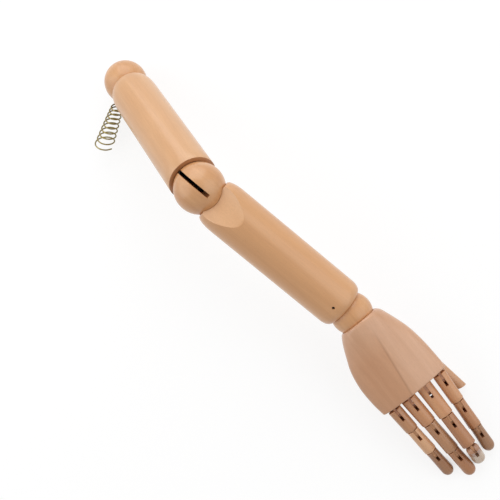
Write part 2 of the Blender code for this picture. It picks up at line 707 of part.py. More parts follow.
def flex_to_table(seat, widths, lengths, bends):
    """The knuckle bend that brings a fingertip down to the table, found by halving."""
    low, high = -20.0, 60.0
    for _ in range(40):
        middle = (low + high) / 2
        if finger_frames(seat, widths, lengths, bends, middle)[1] > 0.0:
            low = middle
        else:
            high = middle
    return (low + high) / 2


def build_finger(name, palm_frame, palm_world, y, yaw, base_w, tip_w, lengths, bends):
    seat = knuckle_seat(y, yaw, base_w)
    far_ws = ((2 * base_w + tip_w) / 3, (base_w + 2 * tip_w) / 3, tip_w)
    near_ws = (base_w, far_ws[0] * FINGER_NECK, far_ws[1] * FINGER_NECK)
    flex = flex_to_table(palm_world @ seat, near_ws, lengths, bends)
    frame = palm_frame
    local = seat
    labels = (name + "_proximal", name + "_middle", name + "_distal")
    for i, (label, bend) in enumerate(zip(labels, (flex, *bends))):
        offset = pivot_offset(near_ws[i] * FINGER_DEPTH_RATIO)
        frame = joint_frame(label + "_axis", frame, local @ shift(x=offset) @ rot("Y", bend))
        last = i == 2
        tip = "round" if last else None
        end = finger_piece(label, frame, lengths[i], near_ws[i], far_ws[i], tip, not last)
        local = shift(x=end)
        if not last:
            next_depth = near_ws[i + 1] * FINGER_DEPTH_RATIO
            add_tongue_and_pin(label, frame, local, next_depth, near_ws[i + 1])


def build_thumb(palm_frame):
    """Three pieces: the first swings out on an upright pin, the others fold as fingers do."""
    frame = palm_frame
    local = thumb_seat() @ rot("X", 90)
    widths = [THUMB_WIDTH * swell for swell in THUMB_SWELL]
    depth = THUMB_WIDTH * FINGER_DEPTH_RATIO
    add_tongue_and_pin("thumb_root", frame, local, depth, THUMB_WIDTH)
    labels = ("thumb_base", "thumb_proximal", "thumb_distal")
    for i, label in enumerate(labels):
        offset = pivot_offset(widths[i] * FINGER_DEPTH_RATIO)
        frame = joint_frame(label + "_axis", frame, local @ shift(x=offset))
        last = i == 2
        tip = "slanted" if last else None
        end = finger_piece(label, frame, THUMB_LENGTHS[i], widths[i], widths[i + 1], tip, False)
        turn = rot("X", -90) if i == 0 else Matrix()
        local = shift(x=end) @ turn
        if not last:
            obj = bpy.data.objects[label]
            cut(obj, moved(mortise_tool(), local), frame)
            next_depth = widths[i + 1] * FINGER_DEPTH_RATIO
            add_tongue_and_pin(label, frame, local, next_depth, widths[i + 1])


def knuckle_seat(y, yaw, base_w):
    """A finger's joint line at the knuckles, clear of the palm's end for its yaw."""
    clear = base_w / 2 * math.tan(math.radians(abs(yaw)))
    return shift(WRIST_RIM + PALM_LENGTH + clear, y, KNUCKLE_Z) @ rot("Z", yaw)


def build_knuckle_pins(frame):
    for name, y, yaw, base_w, *_ in FINGERS:
        seat = knuckle_seat(y, yaw, base_w)
        offset = pivot_offset(base_w * FINGER_DEPTH_RATIO)
        half = base_w / 2 - FIT
        pin = rod(FINGER_PIN_R, -half, half, "Y", 8)
        piece(name + "_knuckle_pin", moved(pin, seat @ shift(x=offset)), frame, "steel")


def build_shoulder(origin):
    pitch = ELBOW_BEND - FOREARM_FALL
    frame = joint_frame("shoulder", origin, shift(z=SHOULDER_BALL_R) @ rot("Y", -pitch)
                        @ rot("Z", -ELBOW_LEAN))
    roll = rot("X", 90 + SHOULDER_SPRING_ROLL)
    slot_frame = joint_frame("shoulder_slot", frame, roll)
    slotted_ball("shoulder_ball", slot_frame, SHOULDER_BALL_R, *SHOULDER_SLOT, Matrix(),
                 MOUNT_FLAT_R)
    cross_pin("shoulder_pin", slot_frame, SHOULDER_BALL_R)
    swivel("shoulder_swivel", frame, SHOULDER_BALL_R, Matrix())
    spring_frame = joint_frame("shoulder_swing", slot_frame, rot("Y", -SHOULDER_SPRING_ANGLE))
    points = shoulder_spring_points()
    gap = least_self_gap(points, OUTER_WIRE_R, POINTS_PER_CURL // 2)
    print(f"shoulder_spring: least gap to itself {gap / MM:.2f} mm")
    tube("shoulder_spring", points, OUTER_WIRE_R, spring_frame, "brass")
    return frame


def build_upper_arm(shoulder):
    frame = joint_frame("upper_arm_twist", shoulder, Matrix())
    upper_arm(frame)
    start = Vector((SHOULDER_BALL_R + SWIVEL_STAND_OFF - INNER_WIRE_R - FIT, 0, 0))
    lean = math.radians(ELBOW_LEAN)
    back = ELBOW_BALL_R + HOOK_STAND_OFF - INNER_WIRE_R - FIT
    hook_dir = Vector((math.cos(lean), math.sin(lean), 0))
    end = Vector((SHOULDER_TO_ELBOW, 0, 0)) - hook_dir * back
    rings = (SWIVEL_SHANK_R + INNER_WIRE_R + FIT, HOOK_SHANK_R + INNER_WIRE_R + FIT)
    inner_spring("upper_arm_spring", frame, start, end, Vector((1, 0, 0)), hook_dir, rings)
    return frame


def build_elbow(upper):
    sway = joint_frame("elbow_sway", upper, shift(x=SHOULDER_TO_ELBOW) @ rot("Z", ELBOW_LEAN))
    head_from = ELBOW_BALL_R + HOOK_STAND_OFF
    shank = headed_rod(HOOK_EYE_R * 0.7, head_from, HOOK_SHANK_R)
    hook("elbow_hook", sway, shank, rot("Z", 180))
    flex = joint_frame("elbow_flex", sway, rot("Y", ELBOW_BEND))
    rest_angle = 180.0 + ELBOW_BEND
    slotted_ball("elbow_ball", flex, ELBOW_BALL_R, rest_angle - ELBOW_SLOT_FORWARD,
                 rest_angle + ELBOW_SLOT_BACK, Matrix())
    cross_pin("elbow_pin", flex, ELBOW_BALL_R)
    swivel("elbow_swivel", flex, ELBOW_BALL_R, Matrix())
    return flex


def build_forearm(elbow):
    frame = joint_frame("forearm_twist", elbow, Matrix())
    forearm(frame)
    start = Vector((ELBOW_BALL_R + SWIVEL_STAND_OFF - INNER_WIRE_R - FIT, 0, 0))
    lean = math.radians(WRIST_LEAN)
    back = WRIST_BALL_R + SWIVEL_STAND_OFF - INNER_WIRE_R - FIT
    swivel_dir = Vector((math.cos(lean), -math.sin(lean), 0))
    end = Vector((ELBOW_TO_WRIST, 0, 0)) - swivel_dir * back
    ring = SWIVEL_SHANK_R + INNER_WIRE_R + FIT
    inner_spring("forearm_spring", frame, start, end, Vector((1, 0, 0)), swivel_dir, (ring, ring))
    return frame


def build_wrist(forearm_frame):
    frame = joint_frame("wrist_lean", forearm_frame,
                        shift(x=ELBOW_TO_WRIST) @ rot("Z", -WRIST_LEAN))
    slotted_ball("wrist_ball", frame, WRIST_BALL_R, -WRIST_SLOT, WRIST_SLOT, rot("Z", 180))
    cross_pin("wrist_pin", frame, WRIST_BALL_R)
    swivel("wrist_swivel", frame, WRIST_BALL_R, rot("Z", 180))
    return frame


def build_hand(wrist, wrist_world):
    frame = joint_frame("wrist_flex", wrist, rot("Y", WRIST_FLEX))
    world = wrist_world @ rot("Y", WRIST_FLEX)
    palm(frame, [(knuckle_seat(*f[1:4]), f[3] * FINGER_DEPTH_RATIO) for f in FINGERS])
    hook_end = WRIST_BALL_R + PALM_HOOK_ROOT
    shank = rod(HOOK_SHANK_R, HOOK_EYE_R * 0.7, hook_end, "X", ROD_SIDES + 2)
    hook("palm_hook", frame, shank, Matrix())
    build_knuckle_pins(frame)
    for finger in FINGERS:
        build_finger(finger[0], frame, world, *finger[1:])
    build_thumb(frame)


def stand_on_origin(origin):
    """Move the whole arm so that its box stands centred on the world's origin."""
    bpy.context.view_layer.update()
    graph = bpy.context.evaluated_depsgraph_get()
    corners = []
    for obj in bpy.data.objects:
        if obj.type == "EMPTY" or obj.hide_render:
            continue
        shape = obj.evaluated_get(graph)
        mesh = shape.to_mesh()
        corners += [shape.matrix_world @ v.co for v in mesh.vertices]
        shape.to_mesh_clear()
    low = Vector(min(c[i] for c in corners) for i in range(3))
    high = Vector(max(c[i] for c in corners) for i in range(3))
    origin.location = (-(low.x + high.x) / 2, -(low.y + high.y) / 2, -low.z)
    bpy.context.view_layer.update()


def main():
    clear_scene()
    origin = joint_frame("arm_origin", None, Matrix())
    shoulder = build_shoulder(origin)
    upper = build_upper_arm(shoulder)
    elbow = build_elbow(upper)
    fore = build_forearm(elbow)
    wrist = build_wrist(fore)
    bpy.context.view_layer.update()
    build_hand(wrist, wrist.matrix_world.copy())
    stand_on_origin(origin)


main()
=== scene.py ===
"""Jointed wooden lay-figure arm: the fine surface of each piece, and its stage."""
import json
import math

import bpy
from mathutils import Matrix, Vector


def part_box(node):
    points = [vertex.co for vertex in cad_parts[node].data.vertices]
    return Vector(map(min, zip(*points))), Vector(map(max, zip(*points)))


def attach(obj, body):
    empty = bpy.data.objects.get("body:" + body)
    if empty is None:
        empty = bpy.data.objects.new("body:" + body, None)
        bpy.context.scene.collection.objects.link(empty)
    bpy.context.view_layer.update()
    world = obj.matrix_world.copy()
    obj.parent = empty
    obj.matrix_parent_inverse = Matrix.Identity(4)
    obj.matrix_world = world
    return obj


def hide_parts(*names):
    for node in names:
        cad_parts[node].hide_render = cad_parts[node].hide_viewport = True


bl_info = {
    "name": "Wooden Lay-Figure Arm",
    "version": (1, 0, 0),
    "blender": (4, 5, 0),
    "location": "View3D > Sidebar > Arm",
    "description": "Builds the balls, arm pieces, hand and spring of a jointed wooden arm",
    "category": "Object",
}

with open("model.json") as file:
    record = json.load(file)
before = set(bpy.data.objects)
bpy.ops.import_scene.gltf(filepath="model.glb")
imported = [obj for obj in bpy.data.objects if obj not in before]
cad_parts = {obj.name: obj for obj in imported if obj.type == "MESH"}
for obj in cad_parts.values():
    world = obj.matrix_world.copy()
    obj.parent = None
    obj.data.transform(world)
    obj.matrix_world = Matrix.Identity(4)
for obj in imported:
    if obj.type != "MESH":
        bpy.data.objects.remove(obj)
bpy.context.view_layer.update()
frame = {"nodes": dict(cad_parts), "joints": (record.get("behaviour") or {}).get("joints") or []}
JOINTS = {j["name"]: j for j in frame["joints"]}
MM = 0.001

# Gaps and fittings of the joints
RUN = 0.35 * MM  # between a turning piece and its seat
FIT = 0.3 * MM  # round a fixed piece, and at a finger's joint lines
WELD = 0.003 * MM  # slivers shorter than this are merged
SLOT_PLAY = 0.7 * MM  # either side of a hook
HOOK_THICKNESS = 2.4 * MM
HOOK_EYE_R = 4.0 * MM
HOOK_BORE_R = 1.5 * MM  # in the palm, for the wrist hook's shank
HOOK_BORE_END = 34.3 * MM
PIN_R = 1.5 * MM
PIN_BORE_R = 1.8 * MM
PIN_SKIN = 0.8 * MM  # wood left over the blind end of a pin bore
SWIVEL_BORE_R = 1.9 * MM
SWIVEL_DEPTH = 13.3 * MM

# Balls: the degrees of each one that its hook sweeps
SHOULDER_SLOT = (56.0, 150.0)
ELBOW_SLOT = (224.8 - 152.0, 224.8 + 5.0)
WRIST_SLOT = (-48.0, 48.0)
SHOULDER_FLAT_R = 5.0 * MM  # flat that seats in the torso
ROUND = 128  # sides of a turned piece
# end of a tool over the radius of the wood that it cuts: outside it, and inside it
OUTSIDE, INSIDE = 1.1, 0.8

# Distances between ball centres, the rims of the cups that sit on the balls, and how far the
# round nose behind each rim reaches
SHOULDER_TO_ELBOW = 192.3 * MM
ELBOW_TO_WRIST = 187.9 * MM
SHOULDER_RIM, SHOULDER_NOSE = 14.7 * MM, 19.0 * MM
ELBOW_RIM_UPPER = 16.0 * MM
ELBOW_RIM_FORE, ELBOW_NOSE = 16.5 * MM, 17.0 * MM
WRIST_RIM, WRIST_NOSE = 9.8 * MM, 10.0 * MM
RIM_LAND = 1.0 * MM
# softened edge of a rim that has no nose: how far back and how far in
EDGE_STATIONS = ((0.6 * MM, 0.0), (0.18 * MM, 0.17 * MM), (0.0, 0.6 * MM))
BORE_R = 8.0 * MM
FLARE_R = 13.0 * MM
FLARE_DEPTH = 64.0 * MM

# Hollow in the forearm that lets the elbow fold, and the nail that holds the inner spring
SCOOP_RADIUS = 70.0 * MM
SCOOP_FLOOR = 15.2 * MM
SCOOP_REACH = 51.0 * MM
SCOOP_TOOL = (-0.06, 0.09)  # ends of the tool that cuts it
SCOOP_SIDES = 384
NAIL_BORE_R = 1.4 * MM
NAIL_FROM_RIM = 12.0 * MM
NAIL_ANGLE = 15

# Shoulder spring: an eye round the pin, a straight lead, a widening coil and its open end
EYE_FROM, EYE_SWEEP = -60, 290  # degrees
LEAD_FROM = 2.5 * MM  # past the eye
LEAD_END = 19.5 * MM
COIL_START, COIL_LENGTH = 25.5 * MM, 47.0 * MM
COIL_CURLS = 9.55
POINTS_PER_CURL = 40
COIL_R, COIL_GROWTH = 5.2 * MM, 4.4 * MM
COIL_CLOSED = 0.25  # width of the coil's first turn at its start, over COIL_R
WIDENING, SPACING = 0.8, 1.25  # powers of the share of the coil
SPRING_LEAN = 0.62  # how far its loops lean, over their radius
OPEN_END_STEP = 1.2 * MM

# Palm
PALM_BEND = -9.0  # degrees that it nods at the wrist at rest
PALM_LENGTH = 84.6 * MM
PALM_EDGE = 1.4 * MM
PALM_ROUNDNESS = 0.06  # how far its cross section turns to a circle
PALM_CROWDING = 1.35  # its rings lie closer towards the wrist
# station along the palm, thumb-side half width, little-finger-side half width, half thickness
PALM_STATIONS = (
    (0.8, 20.9, 20.9, 20.6),
    (3.5, 23.6, 22.9, 20.9),
    (9.0, 26.0, 26.0, 20.0),
    (20.0, 29.8, 31.0, 18.0),
    (34.0, 33.9, 36.4, 16.3),
    (52.0, 36.4, 39.4, 14.8),
    (70.0, 37.3, 39.2, 13.4),
    (83.2, 37.4, 37.6, 12.4),
)
RIDGE_HEIGHT = 1.6 * MM  # of the soft ridge along the palm's back, at the knuckles
RIDGE_REACH = 24.0 * MM
RIDGE_HALF_WIDTH = 1.8 * MM
RIDGE_FROM, RIDGE_TO = 8.0 * MM, -4.0 * MM
RIDGE_STARTS = (0.12, 0.36, 0.6)  # shares of the palm's length
SEAM_AT = 8.6 * MM  # glue line of the palm's two boards, where it passes the wrist
SEAM_ANGLE = -8.0
THUMB_HOLLOW_WIDE = 9.0 * MM
THUMB_HOLLOW_HIGH = 9.4 * MM
BEYOND = 0.2  # past every face of the hand

# Fingers
TONGUE = 2.6 * MM
TONGUE_PLAY = 0.08 * MM  # either side of a tongue in its slot
TONGUE_HALF_HEIGHT = 4.4 * MM
TONGUE_ROOT = 8.0 * MM
TONGUE_RECESS = 0.4 * MM
SLOT_BEYOND = 7.0 * MM  # how far a slot reaches past its pin
SLOTS_RIGHT_THROUGH = ("middle_proximal", "ring_proximal")
FINGER_BORE_R = 1.1 * MM
FINGER_EDGE = 0.7 * MM
DEPTH_RATIO = 0.94  # a finger's depth over its width
NECK = 0.9  # near end of a finger length over the far end of the one before it
TIP_RATIO = 0.62  # length of a round tip over its width
TIP_SWEEP = 84  # degrees of the tip's quarter round that are built
FINGER_PARTS = ("proximal", "middle", "distal")
THUMB_PARTS = ("base", "proximal", "distal")
# name, base width, tip width and three lengths in mm, bend of the tip joint in degrees
FINGERS = (
    ("index", 13.6, 12.3, (32.9, 31.9, 31.8), 4),
    ("middle", 15.7, 13.0, (35.9, 35.6, 35.7), 50),
    ("ring", 15.8, 13.0, (32.2, 36.3, 35.2), 6),
    ("little", 13.7, 12.0, (27.7, 29.6, 35.6), 5),
)
THUMB_WIDTH = 12.6 * MM
THUMB_SWELL = (1.0, 1.08, 1.08, 0.75)  # width at each joint and at the tip
THUMB_LENGTHS = (23.5 * MM, 24.0 * MM, 40.5 * MM)
THUMB_TIP_SLANT = 20

# Tone of each length over the common colour, how light and how pale: partly the wood's own tone,
# partly painted light and shade
TONES_AND_PAINTED_LIGHT = {
    "index": ((1.12, 0.9), (0.98, 0.85), (0.7, 0.97)),
    "middle": ((1.15, 0.96), (0.84, 0.8), (1.1, 2.1)),
    "ring": ((1.08, 0.92), (0.95, 1.05), (0.85, 0.76)),
    "little": ((0.97, 0.95), (1.32, 1.2), (0.69, 0.84)),
    "thumb": ((1.1, 1.1), (1.1, 1.1), (1.12, 1.14)),
}
# What red, green and blue are multiplied by on each kind of face
# end grain, darkened further with painted shade on the cup rims and the finger joint faces
ARM_END_GRAIN_AND_SHADE = (0.62, 0.52, 0.45)
FINGER_END_GRAIN_AND_SHADE = (0.72, 0.62, 0.55)
# painted shade on the walls deep in a finger's slot
SLOT_WALL_SHADE = (0.8, 0.62, 0.5)
# painted shade on the palm's knuckle tongues
TONGUE_SHADE = (0.7, 0.56, 0.48)
# darker and browner beside the middle fingertip's joint
NEAR_JOINT_BROWN = (0.62, 0.42, 0.32)
HOLLOWED = (1.1, 1.2, 1.38)
# steel parts coloured near black for the shade of the slot and bores they sit in: painted shade
SHADE_DARKENED_STEEL = ("elbow_hook", "elbow_pin", "forearm_nail")

# Stage
LIGHTS = {"shoulder": (-0.9, 0.9, 0.9), "low": (-0.9, -0.9, 0.9), "hand": (0.9, 0.9, 0.9)}
LIGHT_SIZE = 1.5
LIGHT_AIM = Vector((0, 0, 0.03))
FLOOR_SIZE, FLOOR_Z = 8.0, -0.0002
CAMERA_PLACE = (0.15642804, 0.02963856, 0.87394939)
CAMERA_RIGHT = Vector((0.74541955, 0.63670304, -0.19738017))
CAMERA_DOWN = Vector((0.63108853, -0.76941703, -0.09861391))
CAMERA_AHEAD = Vector((-0.21465544, -0.05105563, -0.97535448))


def srgb(code):
    """An sRGB hex colour as linear RGBA."""
    channels = [int(code[i:i + 2], 16) / 255 for i in (1, 3, 5)]
    linear = [c / 12.92 if c <= 0.04045 else ((c + 0.055) / 1.055) ** 2.4 for c in channels]
    return (*linear, 1.0)


# Frames

def axes(point, x, y):
    """A right-handed frame at a point, from its x axis and the axis nearest y."""
    x = Vector(x).normalized()
    z = x.cross(Vector(y)).normalized()
    y = z.cross(x)
    rotation = Matrix((x, y, z)).transposed().to_4x4()
    return Matrix.Translation(Vector(point)) @ rotation


def place_of(name):
    return Vector(JOINTS[name]["pos_m"])


def axis_of(name):
    return Vector(JOINTS[name]["axis"])


def rot(axis, degrees):
    return Matrix.Rotation(math.radians(degrees), 4, axis)


def move(x, y=0, z=0):
    return Matrix.Translation((x, y, z))


def arm_frames():
    """Frames of the shoulder's slot, upper arm, forearm, wrist ball and palm at rest."""
    shoulder, shoulder_x = place_of("upper_arm_twist"), axis_of("upper_arm_twist")
    wrist_y = axis_of("wrist_flex")
    wrist = axes(place_of("wrist_sway"), wrist_y.cross(axis_of("wrist_sway")), wrist_y)
    return {
        "shoulder_slot": axes(shoulder, shoulder_x, axis_of("shoulder_swing")),
        "upper_arm": axes(shoulder, shoulder_x, axis_of("elbow_sway").cross(shoulder_x)),
        "forearm": axes(place_of("elbow_flex"), axis_of("forearm_twist"), axis_of("elbow_flex")),
        "wrist": wrist,
        "palm": wrist @ rot("Y", PALM_BEND),
    }


def finger_frames(name, tip_bend):
    """Frames of a finger's three pins at rest."""
    joints = [f"{name}_{joint}" for joint in ("knuckle", "middle_joint", "tip_joint")]
    points = [place_of(joint) for joint in joints]
    first = axes(points[0], points[1] - points[0], axis_of(joints[0]))
    second = axes(points[1], points[2] - points[1], axis_of(joints[1]))
    third = Matrix.Translation(points[2]) @ second.to_3x3().to_4x4() @ rot("Y", tip_bend)
    return first, second, third


def thumb_seat():
    """Where the thumb's first joint line lies, with its swing axis on z."""
    start, towards = place_of("thumb_swing"), place_of("thumb_middle_joint")
    x = (towards - start).normalized()
    offset = THUMB_WIDTH * DEPTH_RATIO / 2 + FIT
    z = axis_of("thumb_swing")
    return axes(start - x * offset, x, z.cross(x))


# Modelling steps

def deselect():
    if bpy.context.object and bpy.context.object.mode != "OBJECT":
        bpy.ops.object.mode_set(mode="OBJECT")
    bpy.ops.object.select_all(action="DESELECT")


def pick(obj):
    """Select one object alone and make it active."""
    deselect()
    obj.select_set(True)
    bpy.context.view_layer.objects.active = obj


def named(name):
    obj = bpy.context.object
    obj.name = name
    obj.data.name = name
    return obj


def seat(obj, matrix):
    """Move a piece to its place and put that place in its mesh."""
    pick(obj)
    obj.matrix_world = matrix @ obj.matrix_world
    bpy.ops.object.transform_apply()


def edit_all():
    """Go into edit mode with the whole mesh selected."""
    bpy.ops.object.mode_set(mode="EDIT")
    bpy.ops.mesh.select_all(action="SELECT")


def close_surface():
    """Merge doubles, turn the faces outwards and leave edit mode."""
    edit_all()
    bpy.ops.mesh.remove_doubles(threshold=WELD / 3)
    bpy.ops.mesh.normals_make_consistent(inside=False)
    bpy.ops.object.mode_set(mode="OBJECT")


def smooth(obj, angle=30):
    pick(obj)
    bpy.ops.object.shade_smooth_by_angle(angle=math.radians(angle))


def cut(obj, tool, operation="DIFFERENCE"):
    """Cut obj with a tool, or join the tool to it, and throw the tool away."""
    step = obj.modifiers.new("cut", "BOOLEAN")
    step.operation = operation
    step.solver = "EXACT"
    step.object = tool
    pick(obj)
    bpy.ops.object.modifier_apply(modifier=step.name)
    bpy.data.objects.remove(tool)


def bar(radius, start, end, axis, matrix, sides=32):
    """A round tool along one axis of a frame."""
    deselect()
    turn = {"X": (0, math.pi / 2, 0), "Y": (math.pi / 2, 0, 0), "Z": (0, 0, 0)}[axis]
    middle = [(start + end) / 2 if way == axis else 0 for way in "XYZ"]
    bpy.ops.mesh.primitive_cylinder_add(vertices=sides, radius=radius, depth=end - start,
                                        location=middle, rotation=turn)
    tool = bpy.context.object
    seat(tool, matrix)
    return tool


def block(low, high, matrix):
    """A square tool between two corners of a frame."""
    deselect()
    low, high = Vector(low), Vector(high)
    bpy.ops.mesh.primitive_cube_add(size=1.0, location=(low + high) / 2)
    tool = bpy.context.object
    tool.scale = high - low
    seat(tool, matrix)
    return tool


def from_line(name, points, closed, settings):
    """A mesh made from a line through these points, with the curve settings that thicken it."""
    curve = bpy.data.curves.new(name, "CURVE")
    for key, value in settings.items():
        setattr(curve, key, value)
    line = curve.splines.new("POLY")
    line.points.add(len(points) - 1)
    for point, place in zip(line.points, points):
        point.co = (*place, 1.0)
    line.use_cyclic_u = closed
    obj = bpy.data.objects.new(name, curve)
    bpy.context.collection.objects.link(obj)
    pick(obj)
    bpy.ops.object.convert(target="MESH")
    return bpy.context.object


def plate(outline, thickness, matrix):
    """A flat plate with this outline of (x, z) points, half its thickness either side of y = 0."""
    obj = from_line("plate", [(x, z, 0.0) for x, z in outline], True,
                    {"dimensions": "2D", "fill_mode": "BOTH", "extrude": thickness / 2})
    close_surface()
    seat(obj, matrix @ rot("X", 90))
    return obj


def sector(radius, start, end, clear_r, width, matrix):
    """The wedge that a hook sweeps in a ball: a disc trimmed along both ends of the sweep."""
    deselect()
    bpy.ops.mesh.primitive_cylinder_add(vertices=ROUND, radius=radius * OUTSIDE, depth=width,
                                        rotation=(math.pi / 2, 0, 0))
    tool = bpy.context.object
    bpy.ops.object.transform_apply()
    for angle, way in ((start, 1), (end, -1)):
        a = math.radians(angle)
        normal = Vector((math.sin(a), 0, -math.cos(a))) * way
        edit_all()
        bpy.ops.mesh.bisect(plane_co=normal * clear_r, plane_no=normal, use_fill=True,
                            clear_outer=True)
    close_surface()
    seat(tool, matrix)
    return tool


def turn_profile(name, profile):
    """Turn a closed profile of (x, radius) stations, by extruding a circle from one to the next."""
    deselect()
    x, r = profile[0]
    bpy.ops.mesh.primitive_circle_add(vertices=ROUND, radius=r, location=(x, 0, 0),
                                      rotation=(0, math.pi / 2, 0))
    obj = named(name)
    bpy.ops.object.transform_apply()
    edit_all()
    for next_x, next_r in profile[1:] + profile[:1]:
        bpy.ops.mesh.extrude_region_move(TRANSFORM_OT_translate={"value": (next_x - x, 0, 0)})
        k = next_r / r
        bpy.ops.transform.resize(value=(1, k, k), center_override=(next_x, 0, 0))
        x, r = next_x, next_r
    close_surface()
    return obj


def sphere(radius, rotation=(0, 0, 0)):
    deselect()
    bpy.ops.mesh.primitive_uv_sphere_add(segments=ROUND, ring_count=ROUND // 2, radius=radius,
                                         rotation=rotation)
    return bpy.context.object


def arc(centre_x, radius, rim_x, bore_r, side):
    """Stations of a round cup from its rim to the bore; side is the way that it opens."""
    first = math.acos(abs(rim_x - centre_x) / radius)
    last = math.asin(bore_r / radius)
    stations = []
    for i in range(21):
        angle = first + (last - first) * i / 20
        stations.append((centre_x - side * radius * math.cos(angle), radius * math.sin(angle)))
    return stations


def rounded_end(x_rim, r_rim, x_full, r_full):
    """A quarter ellipse from a rim out to the full width."""
    stations = []
    for i in range(17):
        angle = math.pi / 2 * i / 16
        x = x_full + (x_rim - x_full) * math.cos(angle)
        stations.append((x, r_rim + (r_full - r_rim) * math.sin(angle)))
    return stations


def rim_radius(ball_r, rim):
    return math.sqrt((ball_r + RUN) ** 2 - rim ** 2) + RIM_LAND


def ring_size(obj):
    """Half width and half height of the ring that is selected in edit mode, and its centre."""
    obj.update_from_editmode()
    points = [v.co for v in obj.data.vertices if v.select]
    low = Vector(min(p[i] for p in points) for i in range(3))
    high = Vector(max(p[i] for p in points) for i in range(3))
    return (high - low) / 2, (high + low) / 2


def loft(name, stations, corner, segments):
    """Extrude a rounded square from station to station. A station is its x, the low and high
    ends of y and z, and how far the ring turns to a circle there."""
    deselect()
    x, y0, y1, z0, z1, _ = stations[0]
    bpy.ops.mesh.primitive_plane_add(size=1.0, location=(x, (y0 + y1) / 2, (z0 + z1) / 2),
                                     rotation=(0, math.pi / 2, 0))
    obj = named(name)
    bpy.ops.object.transform_apply()
    edit_all()
    bpy.ops.mesh.bevel(offset=corner, segments=segments, affect="VERTICES", profile=0.5)
    half, centre = ring_size(obj)
    bpy.ops.transform.resize(value=(1, (y1 - y0) / 2 / half.y, (z1 - z0) / 2 / half.z),
                             center_override=centre)
    for x, y0, y1, z0, z1, rounder in stations[1:]:
        half, centre = ring_size(obj)
        middle = Vector((x, (y0 + y1) / 2, (z0 + z1) / 2))
        bpy.ops.mesh.extrude_region_move(TRANSFORM_OT_translate={"value": middle - centre})
        if rounder > 0:
            bpy.ops.transform.resize(value=(1, 1 / half.y, 1 / half.z), center_override=middle)
            bpy.ops.transform.tosphere(value=rounder, center_override=middle)
            half, _ = ring_size(obj)
        bpy.ops.transform.resize(value=(1, (y1 - y0) / 2 / half.y, (z1 - z0) / 2 / half.z),
                                 center_override=middle)
    close_surface()
    return obj


def between(rows, t):
    """A row of numbers at t along the first column, on a smooth curve through the rows."""
    i = 0
    while i < len(rows) - 2 and t > rows[i + 1][0]:
        i += 1
    before, a, b, after = rows[max(i - 1, 0)], rows[i], rows[i + 1], rows[min(i + 2, len(rows) - 1)]
    span = b[0] - a[0]
    u = (t - a[0]) / span
    values = []
    for k in range(1, len(a)):
        start = (b[k] - before[k]) / (b[0] - before[0]) * span
        stop = (after[k] - a[k]) / (after[0] - a[0]) * span
        values.append(a[k] * (2 * u ** 3 - 3 * u ** 2 + 1) + b[k] * (3 * u ** 2 - 2 * u ** 3)
                      + start * (u ** 3 - 2 * u ** 2 + u) + stop * (u ** 3 - u ** 2))
    return values


def mend(obj):
    """Merge the slivers that the cuts leave and close the pinholes beside them."""
    pick(obj)
    edit_all()
    bpy.ops.mesh.remove_doubles(threshold=WELD)
    bpy.ops.mesh.dissolve_degenerate(threshold=WELD)
    bpy.ops.mesh.fill_holes(sides=12)
    close_surface()


def finish(obj, body, node, material, angle=30):
    """Smooth a finished piece, give it its material, and let it stand for its node."""
    mend(obj)
    smooth(obj, angle)
    obj.data.materials.clear()
    obj.data.materials.append(material)
    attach(obj, body)
    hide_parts(node)


# Materials

def add(tree, kind, settings=None, **links):
    """A node with its settings; links give the node or output socket that feeds each input."""
    node = tree.nodes.new("ShaderNode" + kind)
    for key, value in (settings or {}).items():
        if isinstance(key, str) and key in node.bl_rna.properties:
            setattr(node, key, value)
        else:
            node.inputs[key].default_value = value
    for key, source in links.items():
        index = int(key[1:]) if key[0] == "i" and key[1:].isdigit() else key.replace("_", " ")
        tree.links.new(output(source), node.inputs[index])
    return node


def output(source):
    """A node's first output that is in use, or the socket itself."""
    if isinstance(source, bpy.types.NodeSocket):
        return source
    return next(socket for socket in source.outputs if socket.enabled)


def new_material(name):
    mat = bpy.data.materials.new(name)
    mat.use_nodes = True
    return mat, mat.node_tree


def surface(mat):
    """Input sockets of the material's surface shader."""
    return mat.node_tree.nodes["Principled BSDF"].inputs


def feed(mat, name, source):
    mat.node_tree.links.new(output(source), surface(mat)[name])


def fed(mat, name):
    """The output that feeds an input of the surface shader."""
    return surface(mat)[name].links[0].from_socket


def stops(ramp, pairs):
    for element, (position, colour) in zip(ramp.color_ramp.elements, pairs):
        element.position = position
        element.color = colour


def own_frame(tree, matrix):
    """Coordinates in a piece's own frame: x along it, y across it and z up."""
    inverse = matrix.inverted()
    place = {"Location": inverse.translation, "Rotation": inverse.to_euler("XYZ")}
    return add(tree, "Mapping", place, Vector=add(tree, "TexCoord").outputs["Object"])


def own_xyz(mat, matrix):
    return add(mat.node_tree, "SeparateXYZ", Vector=own_frame(mat.node_tree, matrix)).outputs


